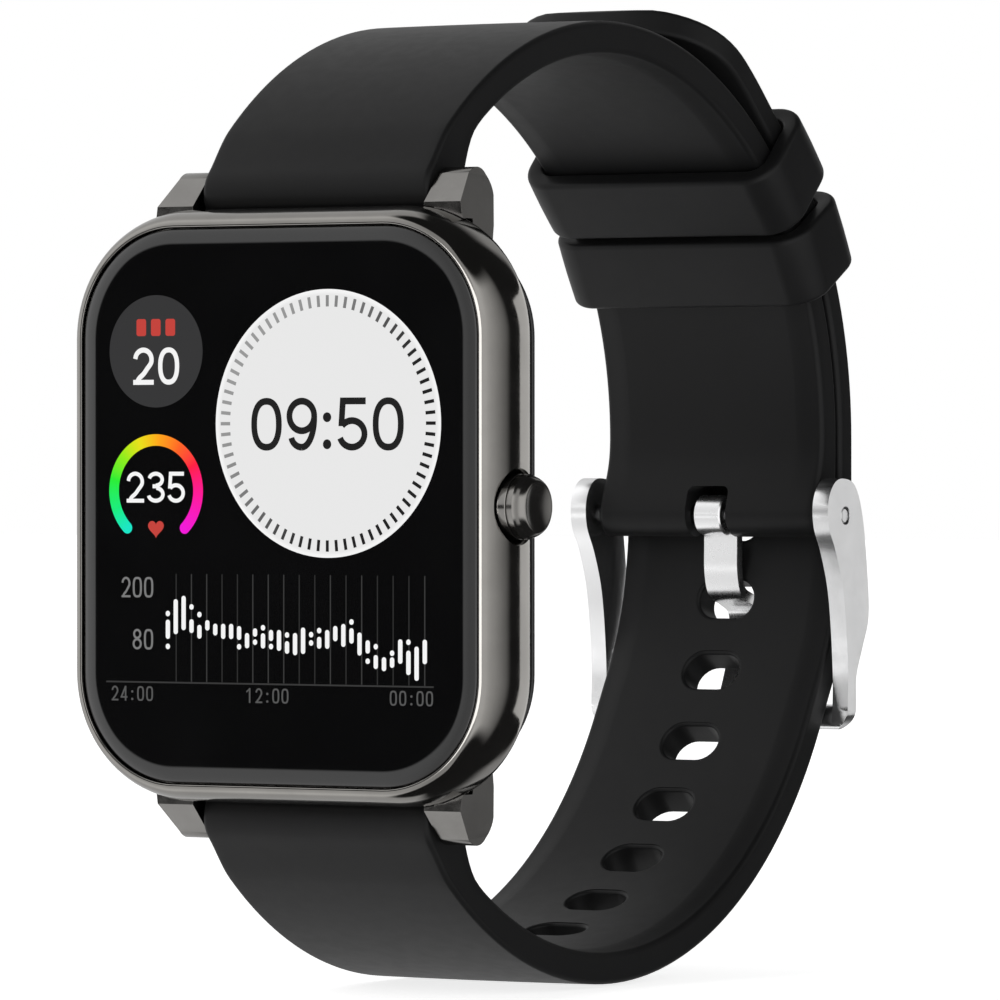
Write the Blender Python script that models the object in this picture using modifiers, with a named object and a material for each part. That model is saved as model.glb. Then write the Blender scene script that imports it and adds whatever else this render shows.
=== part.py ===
"""Smartwatch: metal case with four lugs, side button, two-piece silicone strap
with pin buckle and two keepers.

Frame, in metres: the display faces -Y, 12 o'clock is +Z, the side button is
on +X.  The origin is the centre of the flat outer face of the rear sensor
window, the face that rests on the wrist.

Lengths below are in millimetres and are scaled once, when a mesh is made.
A "depth" is measured rearwards (+Y) from the glass front; an "inset" is
measured inwards from the widest outline of the case.
"""
import math

import bmesh
import bpy
from mathutils import Matrix, Vector

MM = 0.001

# ---------------------------------------------------------------- case
CASE_W, CASE_H = 37.1, 43.4        # widest outline of the metal case
CASE_R = 9.5                       # its corner radius
CASE_DEPTH = 10.8                  # glass front to sensor window rear
CORNER_N = 10                      # segments in each rounded corner

BEZEL_INSET = 1.15                 # how far the bezel lip lies inside the outline
BEZEL_LIP = 0.38                   # depth where the bezel's curved side starts
BULGE_DEPTH = 3.75                 # depth of the widest section
BEZEL_LEDGE = 1.85                 # depth of the ledge behind the glass
BEZEL_REAR = 5.40                  # depth of the bezel's rear edge
CAVITY_INSET = 3.0                 # wall thickness to the electronics cavity
GLASS_INSET, GLASS_T = 1.40, 1.40
GLASS_SEAT_INSET = GLASS_INSET - 0.13
GLASS_DROP, GLASS_RUN = 0.62, 1.35   # depth and width of the glass's curved rim
FRAME_FRONT, FRAME_REAR = 5.58, 8.40
FRAME_RIM = 0.40                   # length of the rim before the wall steps in
REAR_COVER_FRONT, REAR_COVER_REAR = 8.80, 10.00
WINDOW_R = 7.0
SCREW_X, SCREW_Z = 12.75, 15.9
CONTACT_X, MAGNET_X, CONTACT_Z = 2.0, 6.2, -13.4

# ---------------------------------------------------------------- lugs and bars
LUG_IN, LUG_TIP, LUG_FOOT = 10.05, 12.6, 13.4   # inner face, outer face at tip and foot
LUG_TIP_Z, LUG_FLARE_RUN = 24.0, 2.8            # where the flare starts, and its length
BAR_D, BAR_Z = 7.2, 23.0           # spring bar axis: depth and height
BARREL_R = 2.3                     # rounded strap end round the bar
BAR_TUBE_R = 0.75
BAR_BORE_R = 0.95                  # bore in the strap for the bar

# ---------------------------------------------------------------- side button
BUTTON_D = 3.38                    # depth of the button's axis
BUTTON_R = 2.35
BUTTON_FACE_X = 20.28
BUTTON_AXIS = (BUTTON_D, 0)

# ---------------------------------------------------------------- strap
STRAP_HALF_W = 9.8
STRAP_T = 2.65
HALF_T = STRAP_T / 2
TAIL_T = 2.30
LAYER_GAP = 0.25                   # between the short strap and the tail on it
EDGE_R = 0.55
LOOP_D, LOOP_Z, LOOP_R = 31.3, 0.8, 35.5    # main arc of the short strap's outer face
BACK_D, BACK_Z, BACK_R = 35.8, 5.05, 29.3   # flatter arc at the back
LOWER_R = 36.0                     # outer face of the long strap's main arc
LEAVE_A = 120.0                    # angle where the long strap leaves that arc
STRAIGHT = 4.0                     # straight run after leaving it
LIFT_A = 43.0                      # where the free tail springs off straight
LIFT_L, LIFT_R, TIP_A = 5.0, 36.0, 26.0     # its straight run, then its curl to the tip
TIP_L, TIP_POWER = 7.5, 2.5        # length and squareness of the rounded tip
HOLE_PITCH, HOLE_W, HOLE_H = 6.5, 4.9, 3.1
TANG_HOLE_Z = -7.95                # height of the hole the tang goes through
KEEPER_T, KEEPER_H = 1.45, 5.8
FIXED_KEEPER_A, FREE_KEEPER_A = 59.6, 45.4

# ---------------------------------------------------------------- buckle
PIN_D, PIN_Z = 62.9, -1.0          # buckle pin axis
PIN_AXIS = (PIN_D, PIN_Z)
PIN_BARREL_R = 1.75
PIN_BORE_R = 0.72                  # bore in the arms and the tang
ARM_IN, ARM_OUT = 10.35, 11.75
BUCKLE_BAR = (PIN_D + 1.08, PIN_Z - 15.80)                # (depth, z) of its centre
BUCKLE_BAR_WIDE, BUCKLE_BAR_THICK = 1.05, 0.62            # half sizes
BUCKLE_BAR_LEAN = 62.0                                    # degrees from the depth axis

CORNERS = ((1, 1), (-1, 1), (-1, -1), (1, -1))   # (x, z) signs, counter-clockwise
SCREW_PLACES = [(side * SCREW_X, end * SCREW_Z) for side, end in CORNERS]


def yy(depth):
    """Y of a point lying this far behind the glass front."""
    return depth - CASE_DEPTH


# ------------------------------------------------------------------- scene
for old in list(bpy.data.objects):
    bpy.data.objects.remove(old, do_unlink=True)

PARTS = bpy.data.collections.new("smartwatch")
CUTTERS = bpy.data.collections.new("cutters")
bpy.context.scene.collection.children.link(PARTS)
bpy.context.scene.collection.children.link(CUTTERS)


def material(name, colour, roughness, metallic):
    mat = bpy.data.materials.new(name)
    mat.use_nodes = True
    bsdf = mat.node_tree.nodes["Principled BSDF"]
    bsdf.inputs["Base Color"].default_value = (*colour, 1.0)
    bsdf.inputs["Roughness"].default_value = roughness
    bsdf.inputs["Metallic"].default_value = metallic
    mat.diffuse_color = (*colour, 1.0)
    return mat


GUNMETAL = material("gunmetal_plating", colour=(0.23, 0.22, 0.215), roughness=0.16, metallic=1.0)
GLASS = material("cover_glass", colour=(0.02, 0.02, 0.022), roughness=0.04, metallic=0.0)
SCREEN = material("display_panel", colour=(0.03, 0.03, 0.035), roughness=0.3, metallic=0.0)
SEAL = material("black_seal", colour=(0.02, 0.02, 0.02), roughness=0.7, metallic=0.0)
SILICONE = material("strap_silicone", colour=(0.022, 0.022, 0.023), roughness=0.55, metallic=0.0)
STEEL = material("polished_steel", colour=(0.78, 0.78, 0.79), roughness=0.08, metallic=1.0)
SPRING = material("spring_steel", colour=(0.55, 0.55, 0.56), roughness=0.25, metallic=1.0)
PLASTIC = material("rear_plastic", colour=(0.025, 0.025, 0.027), roughness=0.35, metallic=0.0)
FRAME_PLASTIC = material("inner_plastic", colour=(0.06, 0.06, 0.065), roughness=0.5, metallic=0.0)
BOARD = material("circuit_board", colour=(0.02, 0.11, 0.05), roughness=0.45, metallic=0.0)
CELL = material("battery_pouch", colour=(0.5, 0.51, 0.53), roughness=0.3, metallic=0.6)
GOLD = material("contact_plating", colour=(0.83, 0.62, 0.25), roughness=0.22, metallic=1.0)
NICKEL = material("nickel_magnet", colour=(0.62, 0.62, 0.6), roughness=0.2, metallic=1.0)


# ------------------------------------------------------------ object helpers
def add(name, data, coll=PARTS):
    ob = bpy.data.objects.new(name, data)
    coll.objects.link(ob)
    if coll is CUTTERS:
        ob.hide_render = True
        ob.display_type = 'WIRE'
    return ob


def finish(ob, mat, sharp=32.0):
    """Give the piece its material and smooth its faces up to the sharp angle."""
    ob.data.materials.clear()
    ob.data.materials.append(mat)
    ob.data.shade_smooth()
    ob.data.set_sharp_from_angle(angle=math.radians(sharp))
    return ob


def from_bmesh(name, bm, coll=PARTS):
    bmesh.ops.recalc_face_normals(bm, faces=bm.faces)
    mesh = bpy.data.meshes.new(name)
    bm.to_mesh(mesh)
    bm.free()
    return add(name, mesh, coll)


def bake(ob, coll=PARTS):
    """Replace an object by its evaluated, welded mesh in world space."""
    bpy.context.view_layer.update()
    depsgraph = bpy.context.evaluated_depsgraph_get()
    mesh = bpy.data.meshes.new_from_object(ob.evaluated_get(depsgraph))
    mesh.transform(ob.matrix_world)
    bm = bmesh.new()
    bm.from_mesh(mesh)
    bmesh.ops.remove_doubles(bm, verts=bm.verts, dist=0.000002)
    bmesh.ops.dissolve_degenerate(bm, edges=bm.edges, dist=0.000001)
    bmesh.ops.recalc_face_normals(bm, faces=bm.faces)
    mesh.clear_geometry()
    bm.to_mesh(mesh)
    bm.free()
    name = ob.name
    bpy.data.objects.remove(ob, do_unlink=True)
    return add(name, mesh, coll)


def axes_matrix(x_axis, y_axis, z_axis, origin):
    """Matrix that carries the local axes to these directions; origin in mm."""
    matrix = Matrix((x_axis, y_axis, z_axis)).transposed().to_4x4()
    matrix.translation = Vector(origin) * MM
    return matrix


def on_axis(axis, along, centre):
    """Point in mm on a line along 'X' (along is x, centre is depth and z)
    or along 'Y' (along is depth, centre is x and z)."""
    if axis == 'X':
        return along, yy(centre[0]), centre[1]
    return centre[0], yy(along), centre[1]


def boolean(ob, other, operation='DIFFERENCE'):
    mod = ob.modifiers.new(operation.lower(), 'BOOLEAN')
    mod.operation = operation
    mod.solver = 'EXACT'
    mod.object = other


def round_edges(ob, width, segments, angle):
    mod = ob.modifiers.new("round", 'BEVEL')
    mod.width = width * MM
    mod.segments = segments
    mod.limit_method = 'ANGLE'
    mod.angle_limit = math.radians(angle)


# ------------------------------------------------------------ solid makers
def cylinder(name, radius, lo, hi, axis, centre, segments=24, coll=PARTS):
    """A round bar from lo to hi; see on_axis for axis and centre."""
    bm = bmesh.new()
    bmesh.ops.create_cone(bm, cap_ends=True, segments=segments, radius1=radius * MM,
                          radius2=radius * MM, depth=(hi - lo) * MM)
    if axis == 'X':
        turn = Matrix.Rotation(math.radians(90), 4, 'Y')
    else:
        turn = Matrix.Rotation(math.radians(-90), 4, 'X')
    middle = Vector(on_axis(axis, (lo + hi) / 2, centre)) * MM
    bmesh.ops.transform(bm, matrix=Matrix.Translation(middle) @ turn, verts=bm.verts)
    return from_bmesh(name, bm, coll)


def bool_cylinder(ob, name, radius, lo, hi, axis, centre, segments, operation='DIFFERENCE'):
    """Cut a cylinder from the object, or join one to it."""
    boolean(ob, cylinder(name, radius, lo, hi, axis, centre, segments, CUTTERS), operation)


def box(name, lo, hi, coll=PARTS, bevel=0.0):
    """A box between two (x, y, z) corners."""
    bm = bmesh.new()
    bmesh.ops.create_cube(bm, size=1.0)
    size = [(hi[i] - lo[i]) * MM for i in range(3)]
    middle = Vector([(hi[i] + lo[i]) / 2 * MM for i in range(3)])
    bmesh.ops.scale(bm, vec=size, verts=bm.verts)
    bmesh.ops.translate(bm, vec=middle, verts=bm.verts)
    if bevel:
        bmesh.ops.bevel(bm, geom=list(bm.edges), offset=bevel * MM,
                        segments=2, affect='EDGES', profile=0.5)
    return from_bmesh(name, bm, coll)


def turned(name, profile, axis, centre, steps):
    """Spin a profile once round an axis with Screw.

    The profile holds (radius, x) points for 'X', (radius, depth) for 'Y'."""
    bm = bmesh.new()
    verts = []
    for radius, along in profile:
        height = along if axis == 'X' else yy(along)
        verts.append(bm.verts.new((radius * MM, 0.0, height * MM)))
    for start, end in zip(verts, verts[1:]):
        bm.edges.new((start, end))
    mesh = bpy.data.meshes.new(name)
    bm.to_mesh(mesh)
    bm.free()
    ob = add(name, mesh)
    mod = ob.modifiers.new("spin", 'SCREW')
    mod.angle = math.radians(360)
    mod.steps = mod.render_steps = steps
    mod.use_merge_vertices = True
    mod.merge_threshold = 0.000001
    mod.use_normal_calculate = True
    if axis == 'X':
        ob.matrix_world = axes_matrix((0, 1, 0), (0, 0, 1), (1, 0, 0),
                                      (0, yy(centre[0]), centre[1]))
    else:
        ob.matrix_world = axes_matrix((1, 0, 0), (0, 0, -1), (0, 1, 0),
                                      (centre[0], 0, centre[1]))
    return bake(ob)


def filled_outline(name, outlines, thickness, matrix, coll=PARTS):
    """Outlines (with holes) filled by a 2D curve, thickened evenly and baked."""
    curve = bpy.data.curves.new(name, 'CURVE')
    curve.dimensions = '2D'
    curve.fill_mode = 'BOTH'
    curve.extrude = thickness / 2 * MM
    for outline in outlines:
        spline = curve.splines.new('POLY')
        spline.points.add(len(outline) - 1)
        for point, (across, up) in zip(spline.points, outline):
            point.co = (across * MM, up * MM, 0.0, 1.0)
        spline.use_cyclic_u = True
    ob = add(name, curve, coll)
    ob.matrix_world = matrix
    return bake(ob, coll)


def plate_x(name, outline, lo, hi, coll=PARTS, bevel=0.0, segments=2):
    """A flat piece square to X, drawn as (depth, z), from x = lo to hi."""
    drawn = [(yy(depth), z) for depth, z in outline]
    matrix = axes_matrix((0, 1, 0), (0, 0, 1), (1, 0, 0), ((lo + hi) / 2, 0, 0))
    ob = filled_outline(name, [drawn], hi - lo, matrix, coll)
    if bevel:
        round_edges(ob, bevel, segments, angle=50)
    return ob


def plate_y(name, outlines, front, rear, coll=PARTS):
    """A flat piece square to Y, drawn as (x, z), between two depths."""
    matrix = axes_matrix((1, 0, 0), (0, 0, 1), (0, -1, 0), (0, yy((front + rear) / 2), 0))
    return filled_outline(name, outlines, rear - front, matrix, coll)


def loft(name, loops, ring=False, coll=PARTS):
    """Skin between loops that hold the same number of points.

    With ring=True the last loop joins the first; otherwise both ends get a
    flat cap."""
    bm = bmesh.new()
    rows = [[bm.verts.new(Vector(point) * MM) for point in loop] for loop in loops]
    count = len(rows[0])
    pairs = list(zip(rows, rows[1:]))
    if ring:
        pairs.append((rows[-1], rows[0]))
    for row, following in pairs:
        for i in range(count):
            j = (i + 1) % count
            bm.faces.new((row[i], row[j], following[j], following[i]))
    if not ring:
        bm.faces.new(list(reversed(rows[0])))
        bm.faces.new(rows[-1])
    return from_bmesh(name, bm, coll)


def coil(name, radius, wire, x0, x1, turns, centre, segments):
    """Compression spring along X; centre is (depth, z)."""
    curve = bpy.data.curves.new(name, 'CURVE')
    curve.dimensions = '3D'
    curve.bevel_depth = wire * MM
    curve.bevel_resolution = 0
    curve.use_fill_caps = True
    spline = curve.splines.new('POLY')
    count = int(turns * segments) + 1
    spline.points.add(count - 1)
    for i, point in enumerate(spline.points):
        t = i / (count - 1)
        angle = 2 * math.pi * turns * t
        point.co = ((x0 + (x1 - x0) * t) * MM,
                    (yy(centre[0]) + radius * math.cos(angle)) * MM,
                    (centre[1] + radius * math.sin(angle)) * MM, 1.0)
    return finish(bake(add(name, curve)), SPRING)


# ------------------------------------------------------------ outlines
def rounded_rect(half_w, half_h, radius, segments, x=0.0, z=0.0):
    """Rounded rectangle, counter-clockwise, as (across, up) points."""
    points = []
    for k, (side, end) in enumerate(CORNERS):
        for i in range(segments + 1):
            angle = math.radians(90 * k + 90 * i / segments)
            points.append((x + side * (half_w - radius) + radius * math.cos(angle),
                           z + end * (half_h - radius) + radius * math.sin(angle)))
    return points


def stadium(width, height, segments=6):
    """Slot outline with its long side across."""
    radius = height / 2
    points = []
    for side in (1, -1):
        for i in range(segments + 1):
            angle = math.radians(-90 + 180 * i / segments)
            points.append((side * (width / 2 - radius + radius * math.cos(angle)),
                           side * radius * math.sin(angle)))
    return points


def case_outline(inset, segments=8):
    """The case outline drawn inwards by inset, as (x, z) points."""
    return rounded_rect(CASE_W / 2 - inset, CASE_H / 2 - inset, CASE_R - inset, segments)


def case_loft(name, rows, ring=False, coll=PARTS):
    """Loft case outlines given as (depth, inset) rows."""
    loops = [[(x, yy(depth), z) for x, z in case_outline(inset, CORNER_N)]
             for depth, inset in rows]
    return loft(name, loops, ring, coll)


def catmull_rom(p0, p1, p2, p3, t):
    """Point between p1 and p2 on a smooth line through four Vectors."""
    return 0.5 * (2 * p1 + (p2 - p0) * t + (2 * p0 - 5 * p1 + 4 * p2 - p3) * t * t
                  + (3 * p1 - p0 - 3 * p2 + p3) * t ** 3)


def smooth_closed(points, per_side):
    """Smooth points through a closed outline."""
    count = len(points)
    smooth = []
    for i in range(count):
        near = [Vector(points[(i + k - 1) % count]) for k in range(4)]
        for j in range(per_side):
            smooth.append(tuple(catmull_rom(*near, j / per_side)))
    return smooth


def ribbon(points, half_t, per_side=3):
    """Outline of a bent strip of even thickness about a smooth open line."""
    line = [Vector(point) for point in points]
    last = len(line) - 1
    fine = []
    for i in range(last):
        near = (line[max(i - 1, 0)], line[i], line[i + 1], line[min(i + 2, last)])
        for j in range(per_side):
            fine.append(catmull_rom(*near, j / per_side))
    fine.append(line[-1])
    left, right = [], []
    for i, point in enumerate(fine):
        ahead = (fine[min(i + 1, len(fine) - 1)] - fine[max(i - 1, 0)]).normalized()
        normal = Vector((-ahead.y, ahead.x))
        left.append(tuple(point + normal * half_t))
        right.append(tuple(point - normal * half_t))
    return left + list(reversed(right))


# ------------------------------------------------------------ metal bezel
def bezel_profile():
    """(depth, inset) points round the bezel ring's section."""
    rows = [(0.62, GLASS_SEAT_INSET), (0.42, GLASS_INSET - 0.17)]
    steps = 7
    for i in range(steps + 1):             # quarter ellipse from the lip to the bulge
        t = math.radians(90 * i / steps)
        rows.append((BEZEL_LIP + (BULGE_DEPTH - BEZEL_LIP) * (1 - math.cos(t)),
                     BEZEL_INSET * (1 - math.sin(t))))
    return rows + [(4.60, 0.02), (5.02, 0.08), (BEZEL_REAR, 0.42),
                   (BEZEL_REAR, CAVITY_INSET), (BEZEL_LEDGE, CAVITY_INSET),
                   (BEZEL_LEDGE, GLASS_SEAT_INSET)]


def cut_button_well(ob, name):
    bool_cylinder(ob, name, BUTTON_R + 0.2, 17.0, 22.0, 'X', BUTTON_AXIS, 32)


def build_bezel():
    bezel = case_loft("front_bezel", bezel_profile(), ring=True)
    cut_button_well(bezel, "cut_button_well")
    bool_cylinder(bezel, "cut_stem_hole", 0.80, 13.0, 18.0, 'X', BUTTON_AXIS, 16)
    finish(bezel, GUNMETAL, 38)


# ------------------------------------------------------ frame with four lugs
def frame_profile():
    """(depth, inset) points: a thin rim shows behind the bezel, then the wall
    steps in and curves rearwards."""
    wall_front = FRAME_FRONT + FRAME_RIM
    rows = [(FRAME_FRONT, 0.74), (FRAME_FRONT + 0.10, 0.54), (FRAME_FRONT + 0.30, 0.56),
            (wall_front, 1.40)]
    for i in range(1, 4):
        t = i / 3
        rows.append((wall_front + (FRAME_REAR - wall_front) * t, 1.50 + 0.75 * t * t))
    return rows + [(FRAME_REAR, CAVITY_INSET), (FRAME_FRONT, CAVITY_INSET)]


def lug_outline():
    """Side view (depth, z) of a lower lug: sloping front face, rounded tongue end."""
    tip_r, segments = 1.62, 7
    tip_d, tip_z = BAR_D + 0.10, BAR_Z - 0.08
    slope = math.radians(46)               # lean of the front face
    face_length = 2.90
    start = slope + math.pi / 2
    face_foot = (tip_d + tip_r * math.cos(start) - face_length * math.cos(slope),
                 tip_z + tip_r * math.sin(start) - face_length * math.sin(slope))
    # the foot reaches in under the bezel's outline
    points = [(5.70, 19.2), (5.70, 20.2), (face_foot[0], 20.2), face_foot]
    for i in range(segments + 1):
        angle = start - math.radians(150) * i / segments
        points.append((tip_d + tip_r * math.cos(angle), tip_z + tip_r * math.sin(angle)))
    points += [(8.30, 20.3), (8.15, 19.2)]
    return [(depth, -z) for depth, z in reversed(points)]


def flare(mesh):
    """Slope a lug's outer face from LUG_TIP at its tip to LUG_FOOT at its foot."""
    for vert in mesh.vertices:
        x, z = abs(vert.co.x) / MM, abs(vert.co.z) / MM
        t = min(max((LUG_TIP_Z - z) / LUG_FLARE_RUN, 0.0), 1.0)
        outer = LUG_TIP + (LUG_FOOT - LUG_TIP) * t
        scale = (outer - LUG_IN) / (LUG_FOOT - LUG_IN)
        vert.co.x = math.copysign((LUG_IN + (x - LUG_IN) * scale) * MM, vert.co.x)


def build_lug(side, end):
    lo, hi = sorted((side * LUG_IN, side * LUG_FOOT))
    name = f"lug_{'r' if side > 0 else 'l'}{'u' if end > 0 else 'd'}"
    lug = bake(plate_x(name, lug_outline(), lo, hi, CUTTERS, bevel=0.32), CUTTERS)
    flare(lug.data)
    if end > 0:
        lug.data.transform(Matrix.Diagonal((1, 1, -1, 1)))
        lug.data.flip_normals()
    return lug


def build_frame():
    frame = case_loft("case_frame", frame_profile(), ring=True)
    # space kept clear of the lugs for the bezel
    bezel_room = case_loft("cut_bezel_room", [(-1.0, -0.06), (5.50, -0.06)], coll=CUTTERS)
    for side in (1, -1):
        for end in (1, -1):
            lug = build_lug(side, end)
            boolean(lug, bezel_room)
            boolean(frame, lug, 'UNION')
    for i, place in enumerate(SCREW_PLACES):
        bool_cylinder(frame, f"boss_{i}", 1.55, 6.2, FRAME_REAR - 0.05, 'Y', place, 16, 'UNION')
    for i, place in enumerate(SCREW_PLACES):
        bool_cylinder(frame, f"boss_bore_{i}", 0.75, 6.0, FRAME_REAR + 1, 'Y', place, 12)
    cut_button_well(frame, "cut_button_relief")
    for end in (1, -1):      # room between the lugs for the strap's round end to turn
        bool_cylinder(frame, f"cut_barrel_room_{end}", BARREL_R + 0.28, -LUG_IN, LUG_IN, 'X',
                      (BAR_D, end * BAR_Z), 32)
    for end in (1, -1):      # blind sockets for the spring bar tips
        for side in (1, -1):
            lo, hi = sorted((side * (LUG_IN - 0.6), side * (LUG_IN + 1.45)))
            bool_cylinder(frame, f"bar_socket_{side}_{end}", 0.52, lo, hi, 'X',
                          (BAR_D, end * BAR_Z), 12)
    finish(frame, GUNMETAL, 34)


# -------------------------------------------------------------- front stack
def build_glass():
    """Glass with a rounded front edge: flat front, then a drooping rim."""
    rows, steps = [], 5
    for i in range(steps + 1):
        t = math.radians(90 * i / steps)
        rows.append((GLASS_DROP * (1 - math.cos(t)),
                     GLASS_INSET + GLASS_RUN * (1 - math.sin(t))))
    rows.append((GLASS_T, GLASS_INSET + 0.04))
    finish(case_loft("cover_glass", rows), GLASS, 30)


# name, outlines, front depth, rear depth, material
FRONT_PLATES = (
    ("glass_gasket", [case_outline(1.45), case_outline(2.6)], 1.50, 1.75, SEAL),
    ("display_module", [rounded_rect(14.65, 17.4, 5.2, 6)], 1.62, 2.75, SCREEN),
    ("mid_plate", [rounded_rect(13.5, 17.2, 5.0, 6), rounded_rect(4.0, 3.0, 1.0, 2, 0, 10.5)],
     3.05, 3.80, FRAME_PLASTIC),
)
# x, z of two opposite corners
CHIPS = ((-8.0, 9.0, -2.0, 15.0), (-0.8, 10.4, 3.0, 14.2))
EMITTERS = ((-1.2, -0.9, 1.2, 0.9), (-3.9, -0.6, -2.9, 0.6), (2.9, -0.6, 3.9, 0.6))
# radius, depth
MOTOR_PROFILE = [(0, 7.75), (3.7, 7.75), (4.0, 7.5), (4.0, 5.4), (3.7, 5.15), (0, 5.15)]


def join_blocks(ob, name, blocks, front, rear):
    """Join rectangular blocks to a board, between two depths."""
    for i, (x0, z0, x1, z1) in enumerate(blocks):
        boolean(ob, box(f"{name}_{i}", (x0, yy(front), z0), (x1, yy(rear), z1), CUTTERS),
                'UNION')


def build_front_stack():
    for name, outlines, front, rear, mat in FRONT_PLATES:
        finish(plate_y(name, outlines, front, rear), mat)
    board = plate_y("main_board", [rounded_rect(14.45, 17.6, 5.2, 6)], 4.15, 4.85)
    join_blocks(board, "chip", CHIPS, 4.75, 5.65)
    finish(board, BOARD)
    finish(box("battery", (-10.6, yy(5.15), -16.6), (10.6, yy(7.75), 6.6), bevel=0.5), CELL)
    finish(turned("vibration_motor", MOTOR_PROFILE, 'Y', (8.6, 12.3), 24), NICKEL)
    finish(box("side_switch", (13.95, yy(2.98), -1.6), (14.5, yy(4.0), 1.6)), FRAME_PLASTIC)


# ----------------------------------------------------------------- rear side
# depth, inset
COVER_PROFILE = [(REAR_COVER_FRONT, 5.0), (REAR_COVER_FRONT, 2.20), (9.05, 2.15), (9.35, 2.45),
                 (9.65, 3.05), (9.88, 3.95), (REAR_COVER_REAR, 5.0)]
# radius, depth
WINDOW_PROFILE = [(0, CASE_DEPTH), (WINDOW_R - 0.9, CASE_DEPTH), (WINDOW_R - 0.35, 10.68),
                  (WINDOW_R - 0.08, 10.4), (WINDOW_R, 10.1), (WINDOW_R, 8.95), (0, 8.95)]
CONTACT_PROFILE = [(0, 10.06), (0.85, 10.06), (1.0, 9.95), (1.0, 8.75), (0, 8.75)]
SCREW_PROFILE = [(0, 9.95), (0.9, 9.95), (1.15, 9.80), (1.15, 9.40),
                 (0.60, 9.38), (0.60, 6.9), (0.25, 6.5), (0, 6.5)]


def build_rear_cover():
    cover = case_loft("rear_cover", COVER_PROFILE)
    bool_cylinder(cover, "cut_window", WINDOW_R + 0.15, 8.0, 11, 'Y', (0, 0), 40)
    for i, place in enumerate(SCREW_PLACES):
        bool_cylinder(cover, f"cut_shank_{i}", 0.80, 8.0, 10.5, 'Y', place, 14)
        bool_cylinder(cover, f"cut_head_{i}", 1.35, 9.25, 10.5, 'Y', place, 18)
    for i, side in enumerate((-1, 1)):
        bool_cylinder(cover, f"cut_contact_{i}", 1.2, 8.0, 10.5, 'Y',
                      (side * CONTACT_X, CONTACT_Z), 18)
    finish(cover, PLASTIC, 30)
    finish(plate_y("rear_gasket", [case_outline(2.35), case_outline(2.95)], 8.50, 8.70), SEAL)


def build_sensor():
    finish(turned("sensor_window", WINDOW_PROFILE, 'Y', (0, 0), 40), GLASS)
    board = cylinder("sensor_board", 6.4, 7.95, 8.35, 'Y', (0, 0), 28)
    join_blocks(board, "emitter", EMITTERS, 8.3, 8.75)
    finish(board, BOARD)


def build_charging():
    for number, side in ((1, -1), (2, 1)):
        finish(turned(f"charging_contact_{number}", CONTACT_PROFILE, 'Y',
                      (side * CONTACT_X, CONTACT_Z), 20), GOLD)
        finish(cylinder(f"charging_magnet_{number}", 1.45, 7.95, 8.65, 'Y',
                        (side * MAGNET_X, CONTACT_Z), 20), NICKEL)


def build_screw(name, x, z):
    """Pan-head screw with a cross recess."""
    screw = turned(name, SCREW_PROFILE, 'Y', (x, z), 14)
    for k, (half_x, half_z) in enumerate(((0.62, 0.12), (0.12, 0.62))):
        boolean(screw, box(f"{name}_slot_{k}", (x - half_x, yy(9.70), z - half_z),
                           (x + half_x, yy(10.2), z + half_z), CUTTERS))
    finish(screw, STEEL)


# --------------------------------------------------------------- side button
# radius, x: the cap, its stem and the grooves for the seal and the clip
BUTTON_PROFILE = [
    (0, BUTTON_FACE_X), (1.55, BUTTON_FACE_X - 0.03), (2.02, BUTTON_FACE_X - 0.12),
    (2.25, BUTTON_FACE_X - 0.32), (BUTTON_R, BUTTON_FACE_X - 0.60),
    (BUTTON_R, BUTTON_FACE_X - 1.02), (BUTTON_R - 0.16, BUTTON_FACE_X - 1.10),
    (BUTTON_R - 0.16, BUTTON_FACE_X - 1.24), (BUTTON_R, BUTTON_FACE_X - 1.32),
    (BUTTON_R, BUTTON_FACE_X - 2.35), (1.80, BUTTON_FACE_X - 2.40),
    (1.80, BUTTON_FACE_X - 1.15), (0.62, BUTTON_FACE_X - 1.15),
    (0.62, 16.75), (0.42, 16.70), (0.42, 16.15), (0.62, 16.10),     # seal groove
    (0.62, 15.56), (0.40, 15.50), (0.40, 15.22), (0.62, 15.18),     # clip groove
    (0.50, 15.05), (0, 15.05)]


def build_button_seal():
    bpy.ops.mesh.primitive_torus_add(major_segments=18, minor_segments=6,
                                     major_radius=0.60 * MM, minor_radius=0.125 * MM,
                                     location=(16.42 * MM, yy(BUTTON_D) * MM, 0),
                                     rotation=(0, math.radians(90), 0))
    seal = bpy.context.object
    seal.name = seal.data.name = "button_seal"
    finish(bake(seal), SEAL)


def build_button_clip():
    """Open spring clip in the stem's groove."""
    angles = [math.radians(-60 + 300 * k / 14) for k in range(15)]
    outline = []
    for radius, order in ((1.05, angles), (0.50, reversed(angles))):
        for angle in order:
            outline.append((BUTTON_D + radius * math.cos(angle), radius * math.sin(angle)))
    finish(plate_x("button_clip", outline, 15.24, 15.46), SPRING)


def build_button():
    finish(turned("button_cap", BUTTON_PROFILE, 'X', BUTTON_AXIS, 32), GUNMETAL, 35)
    build_button_seal()
    build_button_clip()
    coil("button_spring", radius=1.25, wire=0.13, x0=17.30, x1=18.65, turns=3.0,
         centre=BUTTON_AXIS, segments=10)


# ------------------------------------------------------------ strap centrelines
def polar(centre, radius, angle):
    """(depth, z) point on a circle; the angle is in degrees from +Z towards +Y."""
    angle = math.radians(angle)
    return centre[0] + radius * math.sin(angle), centre[1] + radius * math.cos(angle)


def run_straight(start, angle, length):
    """Point reached by leaving an arc straight, at an angle that was falling."""
    angle = math.radians(angle)
    return start[0] - length * math.cos(angle), start[1] + length * math.sin(angle)


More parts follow.
